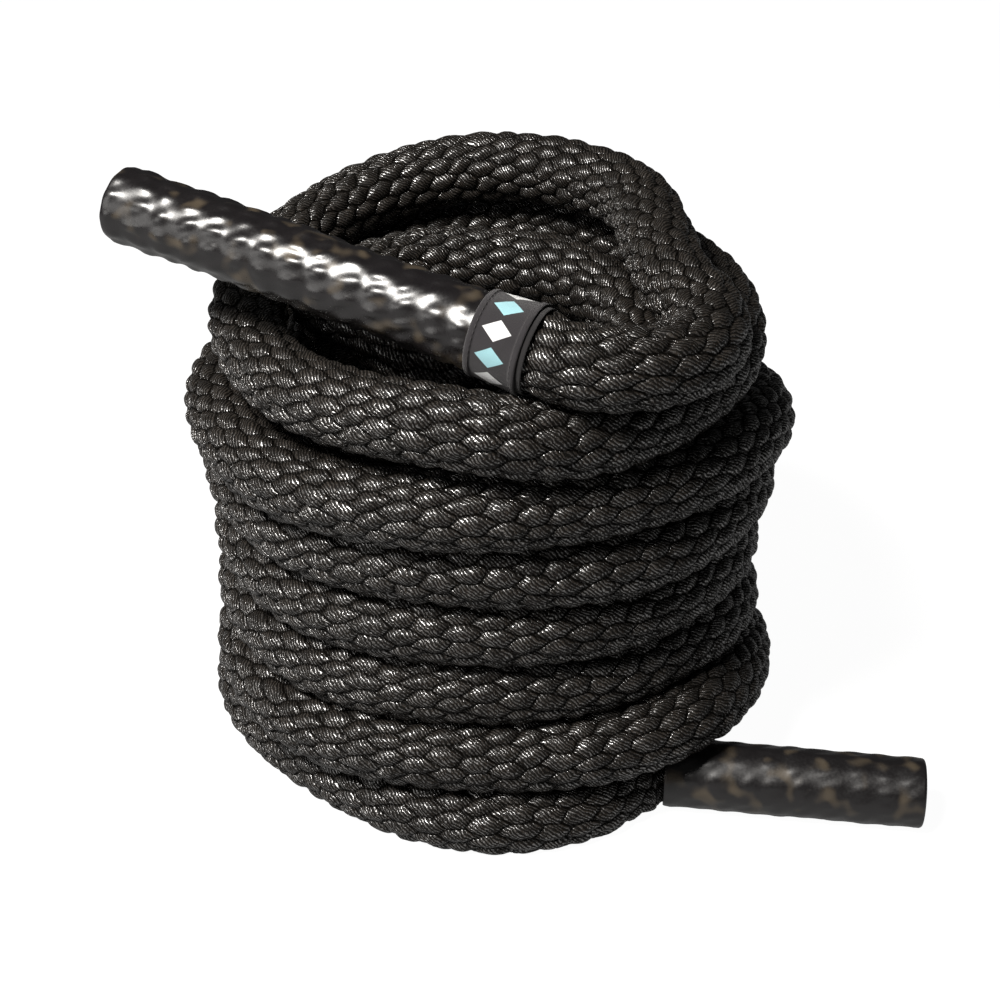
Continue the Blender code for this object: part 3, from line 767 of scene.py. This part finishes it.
def weave(node, pitch):
    """A plain weave of this pitch along the piece and round it, 0 in the gaps to 1 on the threads."""
    waves = []
    for part in node(SEPARATE, (node("ShaderNodeUVMap", uv_map="surface"),)).outputs[:2]:
        angle = node(MATH, (part, 2 * pi / pitch), operation="MULTIPLY")
        wave = node(MATH, (angle,), operation="SINE")
        waves.append(node(MATH, (wave,), operation="ABSOLUTE"))
    return node(MATH, waves, operation="MULTIPLY")


def strap_material(settings):
    """Charcoal polyester webbing, 0.7 mm weave, printed with a plain row of diamonds."""
    made, node, shader = new_material("Woven strap")
    diamond_pitch, diamond_half_length, diamond_half_share = 0.0144, 0.0078, 0.40
    row_middle = 0.0143
    spot = node("ShaderNodeTexCoord").outputs["Object"]
    threads = weave(node, 0.0007)
    # Wear in patches of 8 mm
    cloud = node(NOISE, {"Vector": spot, "Scale": 120.0, "Detail": 3.0})
    thread_tone = node(MAP_RANGE, (threads, 0.0, 0.8, 0.45, 1.0), interpolation_type="SMOOTHSTEP")
    cloud_tone = node(MAP_RANGE, (cloud, 0.3, 0.7, 0.75, 1.15), interpolation_type="SMOOTHSTEP")
    tone = node(MATH, (thread_tone, cloud_tone), operation="MULTIPLY")
    cloth = node(MIX, (tone, linear("#080708"), settings.cloth_colour), data_type="RGBA")

    along, across, _ = node(SEPARATE, (node("ShaderNodeUVMap", uv_map="surface"),)).outputs
    count = node(MATH, (across, diamond_pitch), operation="DIVIDE")
    step = node(MATH, (count,), operation="ROUND")
    side = node(MATH, (count, step), operation="SUBTRACT")
    side = node(MATH, (side,), operation="ABSOLUTE")
    side = node(MATH, (side, 1 / diamond_half_share), operation="MULTIPLY")
    ahead = node(MATH, (along, row_middle), operation="SUBTRACT")
    ahead = node(MATH, (ahead,), operation="ABSOLUTE")
    reach = node(MATH, (ahead, 1 / diamond_half_length, side), operation="MULTIPLY_ADD")
    printed = node(MAP_RANGE, (reach, 1.02, 0.98), interpolation_type="SMOOTHSTEP")
    even = node(MATH, (step, 1.0), operation="PINGPONG")
    ink = node(MIX, (even, settings.diamond_colour, settings.between_colour), data_type="RGBA")
    worn = node(MAP_RANGE, (threads, 0.0, 0.5, 0.72, 1.0), interpolation_type="SMOOTHSTEP")
    worn = node(MATH, (printed, worn), operation="MULTIPLY")
    colour = node(MIX, (worn, cloth, ink), data_type="RGBA")

    rough = node(MAP_RANGE, (threads, 0.0, 1.0, 0.92, 0.7), interpolation_type="SMOOTHSTEP")
    relief = node(BUMP, {"Height": threads, "Strength": 0.8, "Distance": 0.00018})
    set_shader(shader, Base_Color=colour, Roughness=rough, Normal=relief)
    set_shader(shader, Sheen_Weight=0.15, Sheen_Roughness=0.5)
    return made


def lining_material():
    """Knitted backing of the strap: a fine charcoal weave of 0.6 mm."""
    made, node, shader = new_material("Strap lining")
    threads = weave(node, 0.0006)
    spot = node("ShaderNodeTexCoord").outputs["Object"]
    # Wear in patches of 7 mm
    cloud = node(NOISE, {"Vector": spot, "Scale": 150.0, "Detail": 2.0})
    cloud = node(MAP_RANGE, (cloud, 0.3, 0.7, 0.7, 1.2), interpolation_type="SMOOTHSTEP")
    tone = node(MATH, (threads, cloud), operation="MULTIPLY")
    colour = node(MIX, (tone, linear("#080708"), linear("#242022")), data_type="RGBA")
    relief = node(BUMP, {"Height": threads, "Strength": 0.8, "Distance": 0.0002})
    set_shader(shader, Base_Color=colour, Roughness=0.9, Sheen_Weight=0.1, Normal=relief)
    return made


def thread_material():
    """Sewing thread: twisted dark polyester, a little lighter than the cloth, mottled every 0.4 mm."""
    made, node, shader = new_material("Sewing thread")
    spot = node("ShaderNodeTexCoord").outputs["Object"]
    ply = node(NOISE, {"Vector": spot, "Scale": 2500.0, "Detail": 1.0})
    colour = node(MIX, (ply, linear("#1c1a1b"), linear("#4c494a")), data_type="RGBA")
    relief = node(BUMP, {"Height": ply, "Strength": 0.6, "Distance": 0.0001})
    set_shader(shader, Base_Color=colour, Roughness=0.6, Normal=relief)
    return made


def floor_material():
    """Seamless white paper: matt, faintly clouded. The camera and reflections see it lit up."""
    made, node, shader = new_material("White paper")
    spot = node("ShaderNodeTexCoord").outputs["Object"]
    cloud = node(NOISE, {"Vector": spot, "Scale": 40.0, "Detail": 2.0})
    colour = node(MIX, (cloud, linear("#6b6b6b"), linear("#707070")), data_type="RGBA")
    camera_glow, mirror_glow = 0.97, 0.26
    rays = node("ShaderNodeLightPath").outputs
    mirrored = node(MATH, (rays["Is Glossy Ray"], mirror_glow), operation="MULTIPLY")
    seen = node(MATH, (rays["Is Camera Ray"], camera_glow, mirrored), operation="MULTIPLY_ADD")
    set_shader(shader, Base_Color=colour, Roughness=0.9, Specular_IOR_Level=0.1)
    set_shader(shader, Emission_Strength=seen, Emission_Color=(1, 1, 1, 1))
    return made


def turned(name, outline, start, way, sides, material, round_length):
    """A turned skin from (radius, place, relief) rows that run round its section, or from axis to axis."""
    closed = outline[0][0] > 0
    angles = 2 * pi * np.arange(sides) / sides
    vertices, rings, rows = [], [], []
    for radius, place, relief in outline:
        if radius == 0:
            rings.append([len(vertices)] * sides)
            vertices.append((0, 0, place))
            rows.append((place, 0.0, relief))
            continue
        rings.append(list(range(len(vertices), len(vertices) + sides)))
        for k, angle in enumerate(angles):
            vertices.append((radius * cos(angle), radius * sin(angle), place))
            rows.append((place, k / sides, relief))
    pairs = list(zip(rings, rings[1:])) + ([(rings[-1], rings[0])] if closed else [])
    faces = []
    for low, high in pairs:
        for k in range(sides):
            after = (k + 1) % sides
            corners = dict.fromkeys((low[k], low[after], high[after], high[k]))
            faces.append(tuple(corners))
    z = Vector(way)
    x = z.cross(Vector((0, 0, 1))).normalized()
    turn = Matrix((x, z.cross(x), z)).transposed()
    spots = np.array(vertices) @ np.array(turn).T + np.array(start)
    made = new_object(name, spots.tolist(), (), faces)
    for title, values in zip(("place", "around", "relief"), zip(*rows)):
        put_attribute(made.data, title, values)
    made.data.materials.append(material)
    for face in made.data.polygons:
        face.use_smooth = True
    turn_out(made.data)
    put_uv(made.data, round_length)
    return made


def grip_outline(length):
    """A sleeve open at its mouth and folded over the cap at its free end."""
    radius, bore, lip = 0.0193, 0.0182, 0.0150
    mouth_depth, mouth_slant, edge_round = 0.0015, 0.0002, 0.0003
    first_ring, last_gap, ring_gap, relief_start = 0.0007, 0.0032, 0.0016, 0.004
    fold_round, fold_rings, fold_relief_share = 0.0018, 7, 0.5
    fold_rows = ((lip + 0.0004, 0.0001), (lip, 0.0006), (lip, 0.0011), (bore, 0.0014))
    rows = [(bore, mouth_depth, 0), (bore + edge_round, mouth_slant, 0), (radius - edge_round, 0, 0)]
    places = np.arange(first_ring, length - last_gap, ring_gap)
    rows += [(radius, place, min(1.0, place / relief_start)) for place in places]
    middle, top = radius - fold_round, length - fold_round
    for angle in np.linspace(0, pi / 2, fold_rings):
        relief = fold_relief_share * (1 - angle / (pi / 2))
        rows.append((middle + fold_round * cos(angle), top + fold_round * sin(angle), relief))
    return rows + [(reach, length - depth, 0) for reach, depth in fold_rows]


def cap_outline(length):
    """The cap's face, slightly domed inside the sleeve's fold, down to its base."""
    flange, nose, thickness = 0.0179, 0.0147, 0.0056
    flange_depth, step_depth, edge_depth = 0.0018, 0.0016, 0.0006
    edge_round, edge_rise, edge_rings, dome_rise = 0.0012, 0.0009, 8, 0.0003
    base, edge = length - thickness, length - edge_depth
    rows = [(0, base, 0), (flange, base, 0), (flange, length - flange_depth, 0)]
    rows += [(nose, length - step_depth, 0), (nose, edge, 0)]
    for share in np.linspace(0, 1, edge_rings)[:-1]:
        angle = share * pi / 2
        rows.append((nose - edge_round + edge_round * cos(angle), edge + edge_rise * sin(angle), 0))
    for share in (0.85, 0.6, 0.3):
        rows.append((nose * share, length + dome_rise + dome_rise * (1 - share**2), 0))
    rows.append((0, length + 2 * dome_rise, 0))
    return rows


def ride_and_replace(piece, body, slot_name, *nodes):
    """Puts the piece on its body, in the place of these nodes. Its slot name is not used."""
    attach(piece, body)
    if nodes:
        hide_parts(*nodes)


def colour_setting(name, description, colour):
    """A colour that the panel shows, with a written sRGB one as its default."""
    return bpy.props.FloatVectorProperty(
        name=name, description=description, default=linear(colour), size=4, min=0.0, max=1.0, subtype="COLOR"
    )


class RopeSettings(bpy.types.PropertyGroup):
    """How the braid is laid, and its tones."""

    rings_per_lump: bpy.props.IntProperty(
        name="Rings per lump", description="Rings of points along one lump of the braid", default=12, min=4
    )
    points_per_row: bpy.props.IntProperty(
        name="Points per row", description="Points round the rope across one row of lumps", default=8, min=3
    )
    lump_height: bpy.props.FloatProperty(
        name="Lump height",
        description="How far the lumps stand over the creases",
        default=Braid.lump_height,
        unit="LENGTH",
    )
    unevenness: bpy.props.FloatProperty(
        name="Unevenness", description="How far lumps stray, in shares of a lump", default=0.9, min=0.0
    )
    # The rope's two tones: the light one is painted highlight on the yarns' ridges; the dark one fills the
    # gaps between yarns and the creases as painted shade
    dark_colour: colour_setting("Dark yarns", "The darkest tone of the yarns", "#060504")
    ridge_highlight_colour: colour_setting("Light yarns", "The lightest tone of the yarns", "#2f2a25")


class GripSettings(bpy.types.PropertyGroup):
    """The shrink sleeves."""

    lump_height: bpy.props.FloatProperty(
        name="Lump height", description="Height of the lumps that show through", default=0.0010, unit="LENGTH"
    )
    dent_height: bpy.props.FloatProperty(
        name="Dent height", description="Height of the uneven dents", default=0.0014, unit="LENGTH"
    )
    sleeve_colour: colour_setting("Sleeves", "The sleeves' own colour", "#141213")
    # Painted reflection: the blotches' colour stands in for warm reflections on the glossy sleeves
    painted_reflection_colour: colour_setting("Blotches", "The colour of the blotches on the sleeves", "#463e33")


class StrapSettings(bpy.types.PropertyGroup):
    """The label strap."""

    stitches: bpy.props.IntProperty(name="Stitches", description="Stitches in each row", default=44, min=8)
    stitch_length: bpy.props.FloatProperty(
        name="Stitch length", description="Length of one stitch", default=0.0022, unit="LENGTH"
    )
    cloth_colour: colour_setting("Cloth", "The lightest tone of the webbing", "#262226")
    diamond_colour: colour_setting("Diamonds", "Every other diamond of the printed row", "#e9eaea")
    between_colour: colour_setting("Diamonds between", "The diamonds between those", "#9fd0d8")


class StageSettings(bpy.types.PropertyGroup):
    """The camera."""

    elevation: bpy.props.FloatProperty(
        name="Elevation", description="How high the camera looks from", default=radians(27.7), unit="ROTATION"
    )
    distance: bpy.props.FloatProperty(
        name="Distance", description="From the camera to its aim", default=1.037, unit="LENGTH"
    )
    lens: bpy.props.FloatProperty(
        name="Lens", description="Focal length on a 36 mm sensor", default=63.52, unit="CAMERA"
    )


class Settings(bpy.types.PropertyGroup):
    """All settings of the looks."""

    rope: bpy.props.PointerProperty(type=RopeSettings, name="Rope", description="The braided rope")
    grip: bpy.props.PointerProperty(type=GripSettings, name="Grips", description="The shrink sleeves")
    strap: bpy.props.PointerProperty(type=StrapSettings, name="Strap", description="The label strap")
    stage: bpy.props.PointerProperty(type=StageSettings, name="Stage", description="The camera")


def rope_widths(line, place):
    """The braid's width along the line, in shares: drawn in where a grip or the strap holds it."""
    bound = BOUND_RADIUS / (Braid.crease_radius + Braid.lump_height)
    lower, upper = LOWER_MOUTH + COIL_AXIS, UPPER_MOUTH + COIL_AXIS
    out_lower = np.argmin(np.linalg.norm(line - lower, axis=1))
    into_strap = np.argmin(np.linalg.norm(line - upper, axis=1))
    from_lower = np.clip((place - place[out_lower] - LOWER_SWELL_START) / LOWER_SWELL, 0, 1)
    from_strap = np.clip((place[into_strap] + UPPER_SWELL - place) / UPPER_SWELL, 0, 1)
    ease = np.minimum(from_lower, from_strap)
    return bound + (1 - bound) * ease * ease * (3 - 2 * ease)


class BATTLEROPE_OT_rope(bpy.types.Operator):
    """Lay the braided rope along its route"""

    bl_idname = "battle_rope.lay_rope"
    bl_label = "Lay the rope"

    def execute(self, context):
        settings = context.scene.battle_rope.rope
        spacing = Braid.length / settings.rings_per_lump
        line = rope_line(spacing)
        place = spacing * np.arange(len(line))
        width = rope_widths(line, place)
        joint = UPPER_MOUTH + COIL_AXIS - UPPER_WAY * STRAP_TO_JOINT

        material = braid_material(settings)
        group = braided_rope_group()
        at_joint = np.argmin(np.linalg.norm(line - joint, axis=1))
        last_start = at_joint - int(END_STRETCH / spacing)
        count = int(np.ceil(last_start / RINGS_PER_STRETCH))
        cuts = [int(cut) for cut in np.linspace(0, last_start, count + 1)] + [len(line) - 1]
        overlap = len(SUNK_SHARES)
        end_nodes = {"rope_1": ["lower_rope_end"], "rope_end": ["upper_rope_end"]}
        for k, (first, last) in enumerate(zip(cuts, cuts[1:])):
            rows = list(range(first, last + 1))
            sizes = width[first : last + 1].copy()
            for step, sunk in enumerate(SUNK_SHARES):
                if first > 0:
                    sizes[step] -= sunk
                if last < len(line) - 1:
                    sizes[-1 - step] -= sunk
            if first > 0:
                rows = [first - overlap + step for step in range(overlap)] + rows
                even = np.full(overlap, width[first])
                sizes = np.concatenate([sizes[:overlap], even, sizes[overlap:]])
            name = "rope_end" if k == len(cuts) - 2 else f"rope_{k + 1}"
            edges = [(i, i + 1) for i in range(len(rows) - 1)]
            piece = new_object(name, line[rows].tolist(), edges)
            put_attribute(piece.data, "place", place[rows])
            put_attribute(piece.data, "width", sizes)
            grow(
                piece,
                group,
                Points_round=settings.points_per_row * Braid.rows,
                Lump_height=settings.lump_height,
                Twist_per_metre=Braid.slope / Braid.pattern_radius,
                Unevenness=settings.unevenness,
                Material=material,
            )
            turn_out(piece.data)
            put_uv(piece.data, Braid.rope_round)
            if name == "rope_end":
                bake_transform(piece)
            else:
                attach(piece, "coil")
            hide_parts("rope_coil", *end_nodes.get(name, []))
            path = line[rows][::PATH_STEP]
            if len(path) < 2:
                raise RuntimeError("a rope piece has no length")
        return {"FINISHED"}


class BATTLEROPE_OT_grips(bpy.types.Operator):
    """Make the two shrink-sleeved grips and their end caps"""

    bl_idname = "battle_rope.make_grips"
    bl_label = "Make the grips"

    def execute(self, context):
        settings = context.scene.battle_rope.grip
        cap_skin, group = cap_material(), grip_relief_group()
        glossy = sleeve_material("Shrink sleeve", settings, sharpest=0.27, dullest=0.35, shine=0.6)
        worn = sleeve_material("Worn shrink sleeve", settings, sharpest=0.34, dullest=0.46, shine=0.7)
        upper = UPPER_MOUTH + COIL_AXIS + UPPER_WAY * STRAP_TO_SLEEVE
        lower = LOWER_MOUTH + COIL_AXIS
        round_length = 2 * pi * SLEEVE_RADIUS
        for prefix, body, mouth, way, length, skin, relief in (
            ("upper", "upper_handle", upper, UPPER_WAY, UPPER_LENGTH, glossy, 1.0),
            ("lower", "coil", lower, LOWER_WAY, LOWER_LENGTH, worn, 0.5),
        ):
            rows = grip_outline(length)
            sleeve = turned(prefix + "_grip", rows, mouth, way, GRIP_SIDES, skin, round_length)
            grow(
                sleeve,
                group,
                Lump_height=settings.lump_height * relief,
                Dent_height=settings.dent_height * relief,
                Material=skin,
            )
            ride_and_replace(sleeve, body, "sleeve", prefix + "_sleeve")
            rows = cap_outline(length)
            cap = turned(prefix + "_cap", rows, mouth, way, CAP_SIDES, cap_skin, round_length)
            ride_and_replace(cap, body, "end_cap", prefix + "_end_cap")
        return {"FINISHED"}


def strap_reach(radius, place):
    """How far from the grip's axis the strap's cloth is: it flares a little towards the rope."""
    return radius + STRAP_FLARE * (1 - place / STRAP_WIDTH)


def band_outline():
    """The webbing, thicker at its two folded hems, with its edges tucked in."""
    inner, outer, edge_inset = 0.0207, 0.0215, 0.0004
    hem, hem_end, hem_thickness, hem_swell = 0.0034, 0.0004, 0.0005, 0.00025
    tuck, tuck_width, hem_rings, middle_rings = 0.0004, 0.0005, 9, 26
    far_edge, far_hem = STRAP_WIDTH - edge_inset, STRAP_WIDTH - hem
    near, far = np.linspace(0, hem, hem_rings), np.linspace(far_hem, STRAP_WIDTH, hem_rings)
    middle = np.linspace(hem, far_hem, middle_rings)[1:-1]
    rows = [(strap_reach(inner, edge_inset), edge_inset, 0)]
    for place in np.concatenate([near, middle, far]):
        edge = min(place, STRAP_WIDTH - place)
        proud = hem_thickness if edge < hem - hem_end else 0.0
        swell = hem_swell * sin(pi * min(edge / hem, 1))
        sunk = tuck * max(0.0, 1 - edge / tuck_width)
        rows.append((strap_reach(outer + proud + swell - sunk, place), place, 0))
    rows.append((strap_reach(inner, far_edge), far_edge, 0))
    return rows


def lining_outline():
    """The lining: a rounded edge that shows on the rope's side, and a flat part under the band."""
    edge_middle, edge_half, edge_sunk = 0.02035, 0.00045, 0.00005
    edge_place, edge_bulge, edge_rings, hidden_end = -0.0022, 0.0007, 13, 0.020
    bore, back = 0.0199, 0.0206
    rows = []
    for share in np.linspace(0, 1, edge_rings):
        angle = pi * share
        radius = strap_reach(edge_middle + edge_half * cos(angle), 0) - edge_sunk
        rows.append((radius, edge_place - edge_bulge * sin(angle), 0))
    return rows + [(strap_reach(radius, hidden_end), hidden_end, 0) for radius in (bore, back)]


class BATTLEROPE_OT_strap(bpy.types.Operator):
    """Make the label strap with its hems, lining and stitches"""

    bl_idname = "battle_rope.make_strap"
    bl_label = "Make the strap"

    def execute(self, context):
        settings = context.scene.battle_rope.strap
        mouth = UPPER_MOUTH + COIL_AXIS
        cloth, thread, backing = strap_material(settings), thread_material(), lining_material()
        round_length = 2 * pi * STRAP_PRINT_RADIUS
        rows = band_outline()
        strap = turned("strap_band", rows, mouth, UPPER_WAY, STRAP_SIDES, cloth, round_length)
        ride_and_replace(strap, "upper_handle", "strap", "label_strap")
        rows = lining_outline()
        lining = turned("strap_edge", rows, mouth, UPPER_WAY, STRAP_SIDES, backing, round_length)
        ride_and_replace(lining, "upper_handle", "lining", "strap_lining")

        group = stitch_row_group()
        z = Vector(UPPER_WAY)
        x = z.cross(Vector((0, 0, 1))).normalized()
        y = z.cross(x)
        seams = {"stitches_near": SEAM_INSET, "stitches_far": STRAP_WIDTH - SEAM_INSET}
        for name, place in seams.items():
            spots = []
            for k in range(SEAM_POINTS):
                angle = 2 * pi * k / SEAM_POINTS
                radial = x * cos(angle) + y * sin(angle)
                spots.append(Vector(mouth) + z * place + radial * strap_reach(SEAM_RADIUS, place))
            edges = [(k, (k + 1) % SEAM_POINTS) for k in range(SEAM_POINTS)]
            ring = new_object(name, spots, edges)
            grow(ring, group, Stitches=settings.stitches, Length=settings.stitch_length, Material=thread)
            ride_and_replace(ring, "upper_handle", "strap")
        return {"FINISHED"}


class BATTLEROPE_OT_hidden(bpy.types.Operator):
    """Give the carried pieces inside the grips their material"""

    bl_idname = "battle_rope.dress_hidden"
    bl_label = "Dress the hidden pieces"

    def execute(self, context):
        tape = tape_material()
        for name in ("lower_rope_binding", "upper_rope_binding"):
            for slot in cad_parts[name].material_slots:
                slot.material = tape
        return {"FINISHED"}


class BATTLEROPE_OT_stage(bpy.types.Operator):
    """Set the floor, the lights and the camera"""

    bl_idname = "battle_rope.set_stage"
    bl_label = "Set the stage"

    def execute(self, context):
        settings = context.scene.battle_rope.stage
        scene = context.scene
        reach = FLOOR_REACH
        corners = [(-reach, -reach, 0), (reach, -reach, 0), (reach, reach, 0), (-reach, reach, 0)]
        floor = new_object("floor", corners, (), [(0, 1, 2, 3)])
        floor.data.materials.append(floor_material())

        aim = Vector(CAMERA_AIM + COIL_AXIS)
        ahead = Vector((0, cos(settings.elevation), -sin(settings.elevation)))
        data = bpy.data.cameras.new("camera")
        data.lens = settings.lens
        data.sensor_width = SENSOR_WIDTH
        data.shift_x, data.shift_y = CAMERA_SHIFT
        camera = bpy.data.objects.new("camera", data)
        camera.location = aim - ahead * settings.distance
        camera.rotation_euler = ahead.to_track_quat("-Z", "Y").to_euler()
        scene.collection.objects.link(camera)
        scene.camera = camera

        # Each lamp's name, place, width and height, watts and colour
        for name, place, size, power, colour in (
            ("key", (-0.76, -0.83, 1.55), (0.5, 0.42), 58, (1, 0.97, 0.93)),
            ("side", (-1.6, -1.0, 0.6), (0.8, 0.8), 6, (1, 0.98, 0.95)),
        ):
            lamp = bpy.data.lights.new(name, "AREA")
            lamp.shape = "RECTANGLE"
            lamp.size, lamp.size_y = size
            lamp.energy = power
            lamp.color = colour
            made = bpy.data.objects.new(name, lamp)
            made.location = place
            beam = Vector(CAMERA_AIM) - Vector(place)
            made.rotation_euler = beam.to_track_quat("-Z", "Y").to_euler()
            scene.collection.objects.link(made)

        # A room that is white to the camera and hardly lights the rope
        room_light = 0.04
        world = bpy.data.worlds.new("studio")
        world.use_nodes = True
        tree = world.node_tree
        ray = add_node(tree, "ShaderNodeLightPath").outputs["Is Camera Ray"]
        seen = (ray, 0.0, 1.0, room_light, 1.0)
        ground = tree.nodes["Background"]
        feed(ground.inputs["Color"], (1, 1, 1, 1))
        feed(ground.inputs["Strength"], add_node(tree, MAP_RANGE, seen, interpolation_type="LINEAR"))
        scene.world = world
        scene.view_settings.view_transform = "Standard"
        return {"FINISHED"}


class BATTLEROPE_PT_panel(bpy.types.Panel):
    """The looks' settings and steps"""

    bl_label = "Battle rope"
    bl_idname = "BATTLEROPE_PT_panel"
    bl_space_type = "VIEW_3D"
    bl_region_type = "UI"
    bl_category = "Battle rope"

    def draw(self, context):
        settings = context.scene.battle_rope
        for title in ("rope", "grip", "strap", "stage"):
            group = getattr(settings, title)
            box = self.layout.box()
            box.label(text=settings.bl_rna.properties[title].name)
            for name in group.__annotations__:
                box.prop(group, name)
        for operator in OPERATORS:
            self.layout.operator(operator.bl_idname)


OPERATORS = (
    BATTLEROPE_OT_rope,
    BATTLEROPE_OT_grips,
    BATTLEROPE_OT_strap,
    BATTLEROPE_OT_hidden,
    BATTLEROPE_OT_stage,
)
SETTINGS = (RopeSettings, GripSettings, StrapSettings, StageSettings, Settings)
CLASSES = (*SETTINGS, *OPERATORS, BATTLEROPE_PT_panel)


def register():
    for item in CLASSES:
        bpy.utils.register_class(item)
    bpy.types.Scene.battle_rope = bpy.props.PointerProperty(
        type=Settings, name="Battle rope", description="Settings of the looks"
    )


def unregister():
    del bpy.types.Scene.battle_rope
    for item in reversed(CLASSES):
        bpy.utils.unregister_class(item)


def main():
    register()
    bpy.ops.battle_rope.set_stage()
    bpy.ops.battle_rope.lay_rope()
    bpy.ops.battle_rope.make_grips()
    bpy.ops.battle_rope.make_strap()
    bpy.ops.battle_rope.dress_hidden()


if __name__ == "__main__":
    main()
